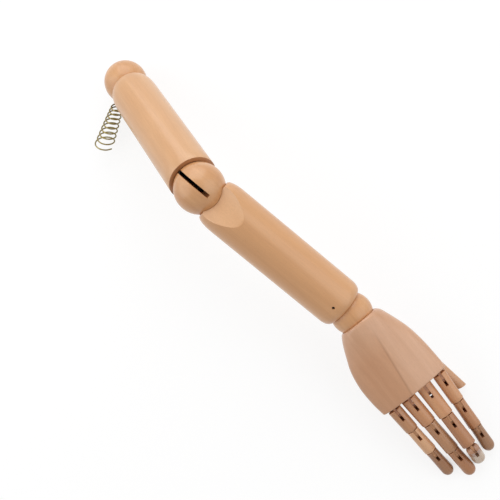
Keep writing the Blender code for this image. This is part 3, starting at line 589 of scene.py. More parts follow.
def wood(name, matrix, light, dark, roughness, seed):
    """Turned or carved beech under satin lacquer: pale growth bands along the grain, short
    dark rays 1 to 3 mm long, and a soft broad sheen."""
    mat, tree = new_material(name)
    grain = own_frame(tree, matrix)
    # growth bands 6 to 10 mm wide that run the length of the piece and waver slowly
    spread = add(tree, "Mapping", {"Location": (seed, seed * 0.7, 0), "Scale": (7, 110, 60)},
                 Vector=grain)
    bands = add(tree, "TexNoise", {"Scale": 1.0, "Detail": 3.0, "Roughness": 0.55,
                                   "Distortion": 0.4}, Vector=spread)
    tone = add(tree, "ValToRGB", Fac=bands)
    stops(tone, ((0.30, tuple(dark)), (0.70, tuple(light))))
    # fibres 0.4 mm wide, drawn out along the grain
    spread = add(tree, "Mapping", {"Location": (0, seed, seed), "Scale": (45, 1500, 1500)},
                 Vector=grain)
    fibres = add(tree, "TexNoise", {"Scale": 1.0, "Detail": 4.0, "Roughness": 0.6}, Vector=spread)
    fibre_tone = add(tree, "MapRange", {"From Min": 0.3, "From Max": 0.7, "To Min": 0.955,
                                        "To Max": 1.04}, Value=fibres)
    toned = add(tree, "VectorMath", {"operation": "SCALE"}, i0=tone, Scale=fibre_tone)
    # beech rays: dashes about 2 mm long and 0.3 mm wide
    spread = add(tree, "Mapping", {"Location": (seed, 0, seed), "Scale": (420, 2400, 2400)},
                 Vector=grain)
    rays = add(tree, "TexVoronoi", {"Scale": 1.0, "Randomness": 1.0}, Vector=spread)
    ray_mask = add(tree, "MapRange", {"From Min": 0.10, "From Max": 0.34, "To Min": 1.0,
                                      "To Max": 0.0}, Value=rays)
    faint = add(tree, "Math", {"operation": "MULTIPLY", 1: 0.22}, i0=ray_mask)
    feed(mat, "Base Color", add(tree, "Mix", {"data_type": "RGBA", 7: tuple(look().ray)}, i0=faint,
                                i6=toned))
    feed(mat, "Roughness", add(tree, "MapRange", {
        "From Min": 0.3, "From Max": 0.7, "To Min": roughness - 0.04,
        "To Max": roughness + 0.06}, Value=fibres))
    feed(mat, "Normal", add(tree, "Bump", {"Strength": 0.06, "Distance": 0.0002}, Height=fibres))
    surface(mat)["IOR"].default_value = 1.5
    surface(mat)["Coat Weight"].default_value = 0.35
    surface(mat)["Coat Roughness"].default_value = 0.16
    return mat


def retint(mat, mask, factors):
    """Multiply the wood's colour by the factors where the mask is 1."""
    feed(mat, "Base Color", add(mat.node_tree, "Mix", {
        "data_type": "RGBA", "blend_type": "MULTIPLY", 7: (*factors, 1.0)}, i0=mask,
        i6=fed(mat, "Base Color")))


def facing(mat, direction, least, full):
    """1 where a face looks along the direction, and 0 where it turns away."""
    tree = mat.node_tree
    dot = add(tree, "VectorMath", {"operation": "DOT_PRODUCT", 1: tuple(direction)},
              i0=add(tree, "TexCoord").outputs["Normal"])
    return add(tree, "MapRange", {"From Min": least, "From Max": full}, Value=dot)


def glue_line(mat, matrix):
    """Two boards glued edge to edge: the one on the little finger's side is browner, and a fine
    dark line runs between them. Both show from a third of the way along."""
    tree = mat.node_tree
    place = own_xyz(mat, matrix @ move(0, SEAM_AT) @ rot("Z", SEAM_ANGLE))
    side = add(tree, "MapRange", {"From Min": -0.2 * MM, "From Max": 0.2 * MM, "To Min": 1.0,
                                  "To Max": 0.0}, Value=place["Y"])
    fade = add(tree, "MapRange", {"From Min": 20 * MM, "From Max": 50 * MM}, Value=place["X"])
    board = add(tree, "Math", {"operation": "MULTIPLY"}, i0=side, i1=fade)
    retint(mat, board, tuple(look().hand_board)[:3])
    off_line = add(tree, "Math", {"operation": "ABSOLUTE"}, i0=place["Y"])
    line = add(tree, "MapRange", {"From Min": 0.3 * MM, "From Max": 1.7 * MM, "To Min": 0.36,
                                  "To Max": 0.0}, Value=off_line)
    strength = add(tree, "Math", {"operation": "MULTIPLY"}, i0=line, i1=fade)
    feed(mat, "Base Color", add(tree, "Mix", {"data_type": "RGBA", 7: tuple(look().ray)},
                                i0=strength, i6=fed(mat, "Base Color")))


def end_grain_and_shade(mat, matrix, factors):
    """Faces across the grain are darker: partly end grain that drinks more lacquer, partly painted
    shade on the cup rims and the joint faces.
    """
    x = matrix.to_3x3().col[0]
    for direction in (x, -x):
        retint(mat, facing(mat, direction, 0.7, 0.9), factors)


def slot_painted_shade(mat, matrix, depth):
    """The walls of a finger's slot, from 0.4 mm down: bare of lacquer, and darkened with painted
    shade.
    """
    tree = mat.node_tree
    place = own_xyz(mat, matrix)
    across = add(tree, "Math", {"operation": "ABSOLUTE"}, i0=place["Y"])
    height = add(tree, "Math", {"operation": "ABSOLUTE"}, i0=place["Z"])
    wall = TONGUE / 2 + TONGUE_PLAY
    limits = ((across, wall + 0.05 * MM, wall + 0.15 * MM),
              (height, depth / 2 - 1.5 * MM, depth / 2 - 0.4 * MM),
              (place["X"], SLOT_BEYOND + 0.05 * MM, SLOT_BEYOND + 0.15 * MM))
    inside, deep, near = [
        add(tree, "MapRange", {"From Min": full, "From Max": none, "To Min": 1.0, "To Max": 0.0},
            Value=source) for source, full, none in limits]
    mask = add(tree, "Math", {"operation": "MULTIPLY"}, i0=inside, i1=deep)
    mask = add(tree, "Math", {"operation": "MULTIPLY"}, i0=mask, i1=near)
    # painted shade on the slot walls
    retint(mat, mask, SLOT_WALL_SHADE)
    lacquer = surface(mat)["Coat Weight"].default_value
    feed(mat, "Coat Weight", add(tree, "MapRange", {"To Min": lacquer, "To Max": 0.0}, Value=mask))
    feed(mat, "Roughness", add(tree, "Math", {"operation": "MAXIMUM"}, i0=mask,
                               i1=fed(mat, "Roughness")))


def brown_beside_tip_joint(mat, matrix):
    """This fingertip is darker and browner beside its joint, fading out between 1.5 and 6 mm along
    it.
    """
    kept = add(mat.node_tree, "MapRange", {"From Min": 1.5 * MM, "From Max": 6.0 * MM,
                                           "To Min": 1.0, "To Max": 0.0},
               Value=own_xyz(mat, matrix)["X"])
    retint(mat, kept, NEAR_JOINT_BROWN)


def tongue_painted_shade(mat, matrix):
    """Painted shade on the knuckle tongues, where they reach into the fingers' slots: darker."""
    end = WRIST_RIM + PALM_LENGTH
    out = add(mat.node_tree, "MapRange", {"From Min": end + 0.1 * MM, "From Max": end + 1.0 * MM},
              Value=own_xyz(mat, matrix)["X"])
    # painted shade on the tongues
    retint(mat, out, TONGUE_SHADE)


def hollow_face(mat, matrix, slope):
    """The face of the forearm's hollow is paler and pinker than the turned surface."""
    near = add(mat.node_tree, "MapRange", {"From Min": SCOOP_REACH - 3.0 * MM,
                                           "From Max": SCOOP_REACH, "To Min": 1.0, "To Max": 0.0},
               Value=own_xyz(mat, matrix)["X"])
    out = matrix.to_3x3() @ Vector((-math.sin(slope), 0, math.cos(slope)))
    retint(mat, add(mat.node_tree, "Math", {"operation": "MULTIPLY"}, i0=near,
                    i1=facing(mat, out, 0.94, 0.96)), HOLLOWED)


def finger_wood(label, matrix, seed, depth):
    """Each finger length has a tone of its own: partly another strip of wood, partly painted light
    and shade.
    """
    finger, part = label.split("_")
    parts = THUMB_PARTS if finger == "thumb" else FINGER_PARTS
    shade, pale = TONES_AND_PAINTED_LIGHT[finger][parts.index(part)]
    tint = (shade, shade * math.sqrt(pale), shade * pale)
    light, dark = [[colour[i] * k for i, k in enumerate(tint)] + [1]
                   for colour in (look().finger_light, look().finger_dark)]
    beech = wood("carved_beech_" + label, matrix, light, dark, roughness=0.38, seed=float(seed))
    if label == "middle_distal":
        brown_beside_tip_joint(beech, matrix)
    slot_painted_shade(beech, matrix, depth)
    # end grain and painted shade on the joint faces
    if part != "distal":
        end_grain_and_shade(beech, matrix, FINGER_END_GRAIN_AND_SHADE)
    return beech


def wire(name, colour, roughness, seed):
    """Drawn wire: metal with faint draw marks, a little duller where the plating has worn."""
    mat, tree = new_material(name)
    where = add(tree, "TexCoord")
    spread = add(tree, "Mapping", {"Location": (seed, seed, 0), "Scale": (400, 400, 400)},
                 Vector=where.outputs["Object"])
    wear = add(tree, "TexNoise", {"Scale": 1.0, "Detail": 3.0}, Vector=spread)
    tint = add(tree, "ValToRGB", Fac=wear)
    red, green, blue, _ = colour
    stops(tint, ((0.3, (red * 0.82, green * 0.8, blue * 0.75, 1)), (0.65, tuple(colour))))
    feed(mat, "Base Color", tint)
    feed(mat, "Roughness", add(tree, "MapRange", {
        "From Min": 0.3, "From Max": 0.7, "To Min": roughness,
        "To Max": roughness + 0.12}, Value=wear))
    surface(mat)["Metallic"].default_value = 1.0
    return mat


def floor_material():
    """Matt white paper: the camera and reflections see it near white, with a soft shadow that
    turns dark where a piece closes it in."""
    mat, tree = new_material("matt_white_paper")
    tree.nodes.clear()
    ray = add(tree, "LightPath").outputs
    seen = add(tree, "Math", {"operation": "MAXIMUM"}, i0=ray["Is Camera Ray"],
               i1=ray["Is Glossy Ray"])
    # open to the sky beyond 18 mm round a point
    sky = add(tree, "AmbientOcclusion", {"samples": 12, "Distance": 0.018}).outputs["AO"]
    lit = add(tree, "MapRange", {"From Min": 0.12, "From Max": 0.42, "To Min": 0.0,
                                 "To Max": 0.76}, Value=sky)
    share = add(tree, "Math", {"operation": "MULTIPLY"}, i0=seen, i1=lit)
    paper = add(tree, "BsdfDiffuse", {"Color": (0.86, 0.86, 0.86, 1)})
    white = add(tree, "Emission", {"Color": (1, 1, 1, 1), "Strength": 1.08})
    both = add(tree, "MixShader", i0=share, i1=paper, i2=white)
    add(tree, "OutputMaterial", Surface=both)
    return mat


# Pieces

def slotted_ball(name, body, matrix, swivel, radius, slot, flat_r, pin_ends, material):
    """A turned ball with its hook slot, cross-pin bore and swivel bore. The pin bore stops
    just under the surface on the side that its pin is not driven in from."""
    sphere(radius, (0, math.pi / 2, math.pi / 4))
    obj = named(name + "_turned")
    bpy.ops.object.transform_apply()
    if flat_r:
        depth = math.sqrt(radius ** 2 - flat_r ** 2)
        edit_all()
        bpy.ops.mesh.bisect(plane_co=(-depth, 0, 0), plane_no=(-1, 0, 0), use_fill=True,
                            clear_outer=True)
        close_surface()
    seat(obj, matrix)
    cut(obj, sector(radius, *slot, HOOK_EYE_R + RUN, HOOK_THICKNESS + 2 * SLOT_PLAY, matrix))
    low, high = [radius * OUTSIDE if is_open else radius - PIN_SKIN for is_open in pin_ends]
    cut(obj, bar(PIN_BORE_R, -low, high, "Y", matrix))
    cut(obj, bar(SWIVEL_BORE_R, radius - SWIVEL_DEPTH, radius * OUTSIDE, "X", swivel))
    finish(obj, body, name, material)


def arm_piece(name, matrix, length, near, far, tops):
    """A bored arm piece with a cup at each end; near and far are (ball radius, rim, nose)."""
    near_r, near_rim, near_nose = near
    far_r, far_rim, far_nose = far
    near_top, far_top = tops
    end_x = length - far_rim
    outer = rounded_end(near_rim, rim_radius(near_r, near_rim), near_rim + near_nose, near_top)
    if far_nose:
        edge = rounded_end(end_x, rim_radius(far_r, far_rim), end_x - far_nose, far_top)[::-1]
    else:
        edge = [(end_x - back, far_top - inset) for back, inset in EDGE_STATIONS]
    belly = []
    for i in range(1, 12):
        t = i / 12
        x = outer[-1][0] + (edge[0][0] - outer[-1][0]) * t
        belly.append((x, near_top + (far_top - near_top) * t))
    inside = [(length - FLARE_DEPTH, FLARE_R), (length - FLARE_DEPTH - FLARE_R + BORE_R, BORE_R)]
    cup_far = arc(length, far_r + RUN, end_x, FLARE_R, 1)
    cup_near = arc(0.0, near_r + RUN, near_rim, BORE_R, -1)
    obj = turn_profile(name + "_turned", outer + belly + edge + cup_far + inside + cup_near[::-1])
    seat(obj, matrix)
    return obj


def raise_ridge(obj):
    """Draw the palm's back up to a soft slanting ridge, more and more towards the knuckles."""
    pick(obj)
    for start in RIDGE_STARTS:
        bpy.ops.object.mode_set(mode="EDIT")
        bpy.ops.mesh.select_all(action="DESELECT")
        bpy.ops.object.mode_set(mode="OBJECT")
        for vertex in obj.data.vertices:
            x, y, z = vertex.co
            t = (x - WRIST_RIM) / PALM_LENGTH
            middle = RIDGE_FROM + (RIDGE_TO - RIDGE_FROM) * t
            vertex.select = z > 0 and t > start and abs(y - middle) < RIDGE_HALF_WIDTH
        bpy.ops.object.mode_set(mode="EDIT")
        bpy.ops.transform.translate(value=(0, 0, RIDGE_HEIGHT / 3), use_proportional_edit=True,
                                    proportional_edit_falloff="LINEAR",
                                    proportional_size=RIDGE_REACH)
        bpy.ops.object.mode_set(mode="OBJECT")


def palm_rings(rim):
    """The palm's cross sections, from the knuckles back to its rim at the wrist."""
    rows = [(0.0, rim, rim, rim)]
    rows += [tuple(v * MM for v in row) for row in PALM_STATIONS]
    last, thumb, little, half = rows[-1]
    rings = []
    for i in range(5):
        a = math.pi / 2 * i / 4
        inset = PALM_EDGE * (1 - math.sin(a))
        x = WRIST_RIM + PALM_LENGTH - PALM_EDGE * (1 - math.cos(a))
        rings.append((x, inset - little, thumb - inset, inset - half, half - inset, 0.0))
    for i in range(1, 37):
        t = last * (1 - i / 36) ** PALM_CROWDING
        thumb, little, half = between(rows, t)
        rings.append((WRIST_RIM + t, -little, thumb, -half, half, PALM_ROUNDNESS))
    return rings


def tongue_outline(depth):
    """A root in the wood, a shoulder up to the back as far as the pin, and a round nose."""
    high = TONGUE_HALF_HEIGHT
    line = -depth / 2 - FIT
    points = [(line - TONGUE_ROOT, -high)]
    for i in range(25):
        angle = math.pi * (i / 24 - 0.5)
        points.append((high * math.cos(angle), high * math.sin(angle)))
    points += [(0, depth / 2 - TONGUE_RECESS), (line + FIT, depth / 2 - TONGUE_RECESS)]
    points += [(line + FIT, high), (line - TONGUE_ROOT, high)]
    return points


def mortise(matrix):
    """The hole for a tongue's root, with the tongue's flat side across y."""
    half, high = TONGUE / 2 + FIT, TONGUE_HALF_HEIGHT + FIT
    return block((-TONGUE_ROOT - FIT, -half, -high), (TONGUE_ROOT, half, high), matrix)


def finger_length(name, matrix, length, base_w, end_w, tip, seed, turn=0):
    """One length of a finger: square on the back and rounded on the palm side of its pin. Its
    tip is round or slanted, or else it has a mortise at a turn about its length."""
    depth, end_depth = base_w * DEPTH_RATIO, end_w * DEPTH_RATIO
    end = length - depth / 2 - FIT
    stations = []
    for i in range(9):
        angle = math.radians(90 * i / 8)
        drop = depth / 2 * (1 - math.sin(angle))
        edge = FINGER_EDGE * max(0.0, 1 - i / 2)
        stations.append((-depth / 2 * math.cos(angle), base_w / 2 - edge,
                         drop - depth / 2 + edge * 0.4, depth / 2 - edge))
    last = end - end_w * TIP_RATIO if tip == "round" else end - FINGER_EDGE
    for i in range(1, 7):
        t = i / 6
        w, d = base_w + (end_w - base_w) * t, depth + (end_depth - depth) * t
        stations.append((last * t, w / 2, -d / 2, d / 2))
    if tip == "round":
        for i in range(1, 11):
            angle = math.radians(TIP_SWEEP * i / 10)
            k = math.cos(angle)
            x = last + end_w * TIP_RATIO * math.sin(angle)
            stations.append((x, end_w / 2 * k, -end_depth / 2 * k, end_depth / 2 * k))
    else:
        for back, edge in ((FINGER_EDGE * 0.3, FINGER_EDGE * 0.3), (0.0, FINGER_EDGE)):
            stations.append((end - back, end_w / 2 - edge, -end_depth / 2 + edge,
                             end_depth / 2 - edge))
    rings = [(x, -half, half, low, high, 0.0) for x, half, low, high in stations]
    obj = loft(name + "_carved", rings, corner=0.45, segments=9)
    seat(obj, matrix)
    if tip == "slanted":
        corner = matrix @ move(end - FINGER_EDGE, end_w / 2) @ rot("Z", -THUMB_TIP_SLANT)
        cut(obj, block((0, -end_w * 2, -end_w), (end_w, end_w, end_w), corner))
    # past the tongue's nose a slot has a floor, except where it goes right through
    swept, floor = TONGUE_HALF_HEIGHT + FIT, -TONGUE_HALF_HEIGHT - FIT
    slot = [(-base_w, -base_w), (swept, -base_w), (swept, floor), (SLOT_BEYOND, floor),
            (SLOT_BEYOND, base_w), (-base_w, base_w)]
    if name in SLOTS_RIGHT_THROUGH:
        slot[1:4] = [(SLOT_BEYOND, -base_w)]
    cut(obj, plate(slot, TONGUE + TONGUE_PLAY * 2, matrix))
    cut(obj, bar(FINGER_BORE_R, -base_w, base_w, "Y", matrix, sides=16))
    if not tip:
        cut(obj, mortise(matrix @ move(end) @ rot("X", turn)))
    finish(obj, name, name, finger_wood(name, matrix, seed, depth), angle=35)


def spring_points(wire_r, up):
    """Round the pin, out along the slot, then a widening coil whose loops lean over towards
    its open end; up is the way up in the spring's axes."""
    eye_r = PIN_R + RUN + wire_r
    points = []
    for i in range(29):
        angle = math.radians(EYE_FROM + EYE_SWEEP * i / 28)
        points.append(Vector((-eye_r * math.cos(angle), 0, eye_r * math.sin(angle))))
    lead = LEAD_END - eye_r - LEAD_FROM
    for i in range(6):
        points.append(Vector((eye_r + LEAD_FROM + lead * i / 5, 0, 0)))
    count = round(COIL_CURLS * POINTS_PER_CURL)
    for i in range(count + 1):
        t = i / count
        curl = t * COIL_CURLS
        opening = min(1.0, COIL_CLOSED + (1 - COIL_CLOSED) * curl)
        radius = (COIL_R + COIL_GROWTH * t ** WIDENING) * opening
        angle = math.tau * curl
        y, z = radius * math.sin(angle), radius * math.cos(angle)
        x = COIL_START + COIL_LENGTH * t ** SPACING + SPRING_LEAN * (y * up.y + z * up.z)
        points.append(Vector((x, y, z)))
    last = points[-1]
    ahead = (last - points[-2]).normalized()
    return points + [last + ahead * (OPEN_END_STEP * i) for i in (1, 2)]


def soft_light(name, place, power):
    """A large square light that looks at the middle of the arm."""
    deselect()
    bpy.ops.object.light_add(type="AREA", location=place)
    light = bpy.context.object
    light.name = name
    light.data.shape = "SQUARE"
    light.data.size = LIGHT_SIZE
    light.data.energy = power
    way = LIGHT_AIM - Vector(place)
    light.rotation_euler = way.to_track_quat("-Z", "Y").to_euler()


def white_room(context, ambient):
    """Even light from all round, which the camera and reflections see as plain white."""
    world = bpy.data.worlds.new("even_white_room")
    context.scene.world = world
    world.use_nodes = True
    tree = world.node_tree
    tree.nodes.clear()
    ray = add(tree, "LightPath").outputs
    glossy = add(tree, "Math", {"operation": "MAXIMUM"}, i0=ray["Is Camera Ray"],
                 i1=ray["Is Glossy Ray"])
    seen = add(tree, "Math", {"operation": "MAXIMUM"}, i0=glossy, i1=ray["Is Transmission Ray"])
    even = add(tree, "Background", {"Color": (1, 1, 1, 1), "Strength": ambient})
    white = add(tree, "Background", {"Color": (1, 1, 1, 1), "Strength": 1.0})
    both = add(tree, "MixShader", i0=seen, i1=even, i2=white)
    add(tree, "OutputWorld", Surface=both)


def set_camera(context, lens):
    """The photograph's view: from above, with the forearm running down to the right."""
    data = bpy.data.cameras.new("camera")
    camera = bpy.data.objects.new("camera", data)
    context.scene.collection.objects.link(camera)
    rotation = Matrix((CAMERA_RIGHT, -CAMERA_DOWN, -CAMERA_AHEAD)).transposed().to_4x4()
    camera.matrix_world = Matrix.Translation(CAMERA_PLACE) @ rotation
    data.sensor_width = 36.0
    data.lens = lens
    data.clip_start, data.clip_end = 0.05, 20.0
    context.scene.camera = camera


# What a user would change

def number(name, unit, default, description):
    return bpy.props.FloatProperty(name=name, unit=unit, default=default, min=0,
                                   description=description)


def colour(name, code, description):
    return bpy.props.FloatVectorProperty(name=name, subtype="COLOR", size=4, min=0, max=1,
                                         default=srgb(code), description=description)


class ArmShape(bpy.types.PropertyGroup):
    """Sizes of the turned pieces."""
    shoulder_ball: number("Shoulder Ball", "LENGTH", 0.023, "Radius of the shoulder ball")
    elbow_ball: number("Elbow Ball", "LENGTH", 0.025, "Radius of the elbow ball")
    wrist_ball: number("Wrist Ball", "LENGTH", 0.0206, "Radius of the wrist ball")
    upper_arm_top: number("Upper Arm Top", "LENGTH", 0.0241,
                          "Radius of the upper arm at the shoulder")
    upper_arm_end: number("Upper Arm End", "LENGTH", 0.0244, "Radius of the upper arm at the elbow")
    forearm_top: number("Forearm Top", "LENGTH", 0.0249, "Radius of the forearm at the elbow")
    forearm_end: number("Forearm End", "LENGTH", 0.0246, "Radius of the forearm at the wrist")
    wire: number("Spring Wire", "LENGTH", 0.00075, "Radius of the shoulder spring's wire")


class ArmFinish(bpy.types.PropertyGroup):
    """Colours of the wood and metal."""
    arm_light: colour("Arm Light", "#DDAC7D", "Pale growth bands of the upper arm")
    arm_dark: colour("Arm Dark", "#D4A070", "Darker growth bands of the upper arm")
    forearm_light: colour("Forearm Light", "#DAA472", "Pale growth bands of the forearm")
    forearm_dark: colour("Forearm Dark", "#D19967", "Darker growth bands of the forearm")
    ball_light: colour("Ball Light", "#DBA674", "Pale growth bands of the balls")
    ball_dark: colour("Ball Dark", "#CD9360", "Darker growth bands of the balls")
    hand_light: colour("Hand Light", "#D6A785", "Pale growth bands of the palm")
    hand_dark: colour("Hand Dark", "#CB9A76", "Darker growth bands of the palm")
    hand_board: colour("Second Board", "#F3EAE0", "Tint of the palm's browner board")
    finger_light: colour("Finger Light", "#C8956B", "Pale growth bands of the fingers")
    finger_dark: colour("Finger Dark", "#B78057", "Darker growth bands of the fingers")
    tongue: colour("Tongue", "#B38057", "Bare wood of the joint tongues")
    ray: colour("Ray", "#8F5F3C", "Short dark rays in the beech")
    brass: colour("Spring Plating", "#94875A", "Yellow plating of the shoulder spring")
    steel: colour("Steel", "#77746E", "Pins, hooks and inner springs")
    # painted shade: the steel in the elbow slot and bores is coloured near black
    black: colour("Steel In Painted Shade", "#2E2A27", "Hook and pin in the elbow ball, and the nail")


class ArmStage(bpy.types.PropertyGroup):
    """Lights and camera."""
    shoulder_power: number("Shoulder Light", "POWER", 12.8, "Power of the light at the shoulder")
    low_power: number("Low Light", "POWER", 8.7, "Power of the light on the little finger's side")
    hand_power: number("Hand Light", "POWER", 7.6, "Power of the light beyond the fingertips")
    ambient: number("Ambient", "NONE", 0.38, "Strength of the even light from all round")
    lens: number("Lens", "CAMERA", 61.2, "Focal length in millimetres on a 36 mm sensor")


def shape():
    return bpy.context.scene.arm_shape


def look():
    return bpy.context.scene.arm_finish


# Build steps

class ARM_OT_balls(bpy.types.Operator):
    """Turn the shoulder, elbow and wrist balls and cut their slots"""
    bl_idname = "arm.balls"
    bl_label = "Balls"

    def execute(self, context):
        frames = arm_frames()
        shoulder, elbow, wrist = frames["shoulder_slot"], frames["forearm"], frames["wrist"]
        # name, body, frame, swivel's frame, slot, flat, open ends of the pin bore, gloss, seed
        for name, body, matrix, swivel, slot, flat_r, pin_ends, roughness, seed in (
                ("shoulder_ball", "shoulder", shoulder, shoulder, SHOULDER_SLOT, SHOULDER_FLAT_R,
                 (True, False), 0.34, 3.0),
                ("elbow_ball", "elbow_ball", elbow, elbow, ELBOW_SLOT, 0.0,
                 (True, True), 0.34, 5.0),
                ("wrist_ball", "wrist_ball", wrist, wrist @ rot("Z", 180), WRIST_SLOT, 0.0,
                 (True, True), 0.36, 8.0)):
            beech = wood("turned_beech_" + name, matrix, look().ball_light, look().ball_dark,
                         roughness, seed)
            slotted_ball(name, body, matrix, swivel, getattr(shape(), name), slot, flat_r, pin_ends,
                         beech)
        return {"FINISHED"}


class ARM_OT_arm_pieces(bpy.types.Operator):
    """Turn the upper arm and the forearm, and hollow the forearm at the elbow"""
    bl_idname = "arm.arm_pieces"
    bl_label = "Arm Pieces"

    def execute(self, context):
        s = shape()
        matrix = arm_frames()["upper_arm"]
        upper = arm_piece("upper_arm", matrix, SHOULDER_TO_ELBOW,
                          (s.shoulder_ball, SHOULDER_RIM, SHOULDER_NOSE),
                          (s.elbow_ball, ELBOW_RIM_UPPER, 0.0), (s.upper_arm_top, s.upper_arm_end))
        beech = wood("turned_beech_upper_arm", matrix, look().arm_light, look().arm_dark,
                     roughness=0.34, seed=1.0)
        # end grain and painted shade on the cup rims
        end_grain_and_shade(beech, matrix, ARM_END_GRAIN_AND_SHADE)
        finish(upper, "upper_arm", "upper_arm", beech)
        matrix = arm_frames()["forearm"]
        fore = arm_piece("forearm", matrix, ELBOW_TO_WRIST,
                         (s.elbow_ball, ELBOW_RIM_FORE, ELBOW_NOSE),
                         (s.wrist_ball, WRIST_RIM, WRIST_NOSE), (s.forearm_top, s.forearm_end))
        slope = math.atan2(s.forearm_top - SCOOP_FLOOR, SCOOP_REACH - s.elbow_ball)
        lift = move(s.elbow_ball, 0, SCOOP_FLOOR) @ Matrix.Rotation(-slope, 4, "Y")
        lift = lift @ move(0, 0, SCOOP_RADIUS)
        cut(fore, bar(SCOOP_RADIUS, *SCOOP_TOOL, "X", matrix @ lift, SCOOP_SIDES))
        nail = matrix @ rot("X", NAIL_ANGLE) @ move(ELBOW_TO_WRIST - WRIST_RIM - NAIL_FROM_RIM)
        cut(fore, bar(NAIL_BORE_R, FLARE_R * INSIDE, s.forearm_end * OUTSIDE, "Z", nail))
        beech = wood("turned_beech_forearm", matrix, look().forearm_light, look().forearm_dark,
                     roughness=0.34, seed=2.0)
        hollow_face(beech, matrix, slope)
        finish(fore, "forearm", "forearm", beech, angle=20)
        return {"FINISHED"}


class ARM_OT_palm(bpy.types.Operator):
    """Carve the palm with its wrist cup, knuckle tongues and thumb hollow"""
    bl_idname = "arm.palm"
    bl_label = "Palm"

    def execute(self, context):
        matrix = arm_frames()["palm"]
        wrist_r = shape().wrist_ball
        rings = palm_rings(rim_radius(wrist_r, WRIST_RIM))
        obj = loft("palm_carved", rings, corner=0.5, segments=18)
        raise_ridge(obj)
        seat(obj, matrix)
        cup = sphere(wrist_r + RUN)
        seat(cup, matrix)
        cut(obj, cup)
        cut(obj, bar(HOOK_BORE_R, wrist_r * INSIDE, HOOK_BORE_END, "X", matrix))
        palm_z = matrix.to_3x3().col[2]
        for name, base_w, *_ in FINGERS:
            y = axis_of(name + "_knuckle")
            knuckle = axes(place_of(name + "_knuckle"), y.cross(palm_z), y)
            tongue = plate(tongue_outline(base_w * MM * DEPTH_RATIO), TONGUE, knuckle)
            cut(tongue, bar(FINGER_BORE_R, -TONGUE, TONGUE, "Y", knuckle, sides=16))
            cut(obj, tongue, "UNION")
        thumb = thumb_seat()
        cut(obj, block((0, -THUMB_HOLLOW_WIDE, -BEYOND), (BEYOND, BEYOND, THUMB_HOLLOW_HIGH),
                       thumb))
        cut(obj, mortise(thumb @ rot("X", -90)))
        beech = wood("carved_beech_palm", matrix, look().hand_light, look().hand_dark,
                     roughness=0.36, seed=11.0)
        glue_line(beech, matrix)
        tongue_painted_shade(beech, matrix)
        finish(obj, "palm", "palm", beech, angle=35)
        return {"FINISHED"}


class ARM_OT_fingers(bpy.types.Operator):
    """Carve the three lengths of each finger"""
    bl_idname = "arm.fingers"
    bl_label = "Fingers"

    def execute(self, context):
        for n, (name, base_w, tip_w, lengths, tip_bend) in enumerate(FINGERS):
            far_ws = ((2 * base_w + tip_w) / 3, (base_w + 2 * tip_w) / 3, tip_w)
            near_ws = (base_w, far_ws[0] * NECK, far_ws[1] * NECK)
            for i, matrix in enumerate(finger_frames(name, tip_bend)):
                finger_length(f"{name}_{FINGER_PARTS[i]}", matrix, lengths[i] * MM,
                              near_ws[i] * MM, far_ws[i] * MM, "round" if i == 2 else None,
                              20 + 3 * n + i)
        return {"FINISHED"}


class ARM_OT_thumb(bpy.types.Operator):
    """Carve the three lengths of the thumb"""
    bl_idname = "arm.thumb"
    bl_label = "Thumb"

    def execute(self, context):
        joints = ("thumb_swing", "thumb_middle_joint", "thumb_tip_joint")
        points = [place_of(j) for j in joints]
        ways = [points[1] - points[0], points[2] - points[1], points[2] - points[1]]
        widths = [THUMB_WIDTH * k for k in THUMB_SWELL]
        for i, part in enumerate(THUMB_PARTS):
            matrix = axes(points[i], ways[i], axis_of(joints[i]))
            finger_length("thumb_" + part, matrix, THUMB_LENGTHS[i], widths[i], widths[i + 1],
                          "slanted" if i == 2 else None, 50 + i, -90 if i == 0 else 0)
        return {"FINISHED"}


class ARM_OT_spring(bpy.types.Operator):
    """Wind the conical shoulder spring from one plated wire"""
    bl_idname = "arm.spring"
    bl_label = "Shoulder Spring"

    def execute(self, context):
        wire_r = shape().wire
        pin, pin_y = place_of("shoulder_swing"), axis_of("shoulder_swing")
        low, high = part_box("shoulder_spring")
        towards = (low + high) / 2 - pin
        matrix = axes(pin, towards - pin_y * towards.dot(pin_y), pin_y)
        up = matrix.to_3x3().transposed() @ Vector((0, 0, 1))
        obj = from_line("shoulder_spring_wound", spring_points(wire_r, up), False,
                        {"dimensions": "3D", "bevel_depth": wire_r, "bevel_resolution": 4,
                         "use_fill_caps": True})
        seat(obj, matrix)
        close_surface()
        plated = wire("drawn_brass_plated_wire", look().brass, roughness=0.30, seed=4.0)
        finish(obj, "shoulder_spring", "shoulder_spring", plated)
        return {"FINISHED"}


class ARM_OT_fittings(bpy.types.Operator):
    """Give the pins, hooks, swivels, inner springs and joint tongues their finishes"""
    bl_idname = "arm.fittings"
    bl_label = "Fittings"

    def execute(self, context):
        steel = wire("drawn_steel", look().steel, roughness=0.34, seed=7.0)
        # painted shade: near black for the steel in the elbow slot and bores
        shade_dark_steel = wire("oil_blackened_steel", look().black, roughness=0.6, seed=9.0)
        matrix = arm_frames()["palm"]
        for name, node in frame["nodes"].items():
            if node.hide_render:
                continue
            material = shade_dark_steel if name in SHADE_DARKENED_STEEL else steel
            if name.endswith("_tongue"):
                material = wood("sawn_beech_" + name, matrix, look().tongue, look().tongue,
                                roughness=0.6, seed=float(len(name)))
            node.data.materials.clear()
            node.data.materials.append(material)
            smooth(node)
        return {"FINISHED"}


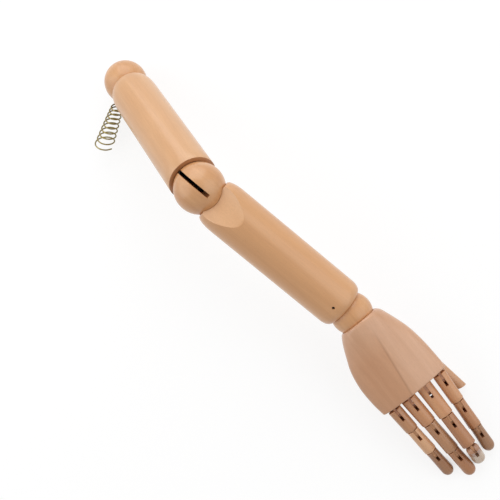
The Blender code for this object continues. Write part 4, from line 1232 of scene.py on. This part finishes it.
class ARM_OT_stage(bpy.types.Operator):
    """Lay a pale floor, hang three large soft lights and set the camera"""
    bl_idname = "arm.stage"
    bl_label = "Stage"

    def execute(self, context):
        settings = context.scene.arm_stage
        deselect()
        bpy.ops.mesh.primitive_plane_add(size=FLOOR_SIZE, location=(0, 0, FLOOR_Z))
        floor = named("pale_floor")
        floor.data.materials.append(floor_material())
        for name, place in LIGHTS.items():
            soft_light(name + "_light", place, getattr(settings, name + "_power"))
        white_room(context, settings.ambient)
        set_camera(context, settings.lens)
        context.scene.view_settings.view_transform = "Standard"
        return {"FINISHED"}


class ARM_PT_panel(bpy.types.Panel):
    """The arm's sizes, colours, lights and build steps"""
    bl_idname = "ARM_PT_panel"
    bl_label = "Wooden Arm"
    bl_space_type = "VIEW_3D"
    bl_region_type = "UI"
    bl_category = "Arm"

    def draw(self, context):
        for name in GROUPS:
            group = getattr(context.scene, name)
            box = self.layout.box()
            for key in group.__annotations__:
                box.prop(group, key)
        for operator in OPERATORS:
            self.layout.operator(operator.bl_idname)


OPERATORS = (ARM_OT_balls, ARM_OT_arm_pieces, ARM_OT_palm, ARM_OT_fingers, ARM_OT_thumb,
             ARM_OT_spring, ARM_OT_fittings, ARM_OT_stage)
GROUPS = {"arm_shape": ArmShape, "arm_finish": ArmFinish, "arm_stage": ArmStage}
CLASSES = (*GROUPS.values(), *OPERATORS, ARM_PT_panel)


def register():
    for cls in CLASSES:
        bpy.utils.register_class(cls)
    for name, group in GROUPS.items():
        setattr(bpy.types.Scene, name, bpy.props.PointerProperty(type=group))


def unregister():
    for name in GROUPS:
        delattr(bpy.types.Scene, name)
    for cls in reversed(CLASSES):
        bpy.utils.unregister_class(cls)


def main():
    register()
    bpy.ops.arm.balls()
    bpy.ops.arm.arm_pieces()
    bpy.ops.arm.palm()
    bpy.ops.arm.fingers()
    bpy.ops.arm.thumb()
    bpy.ops.arm.spring()
    bpy.ops.arm.fittings()
    bpy.ops.arm.stage()


if __name__ == "__main__":
    main()
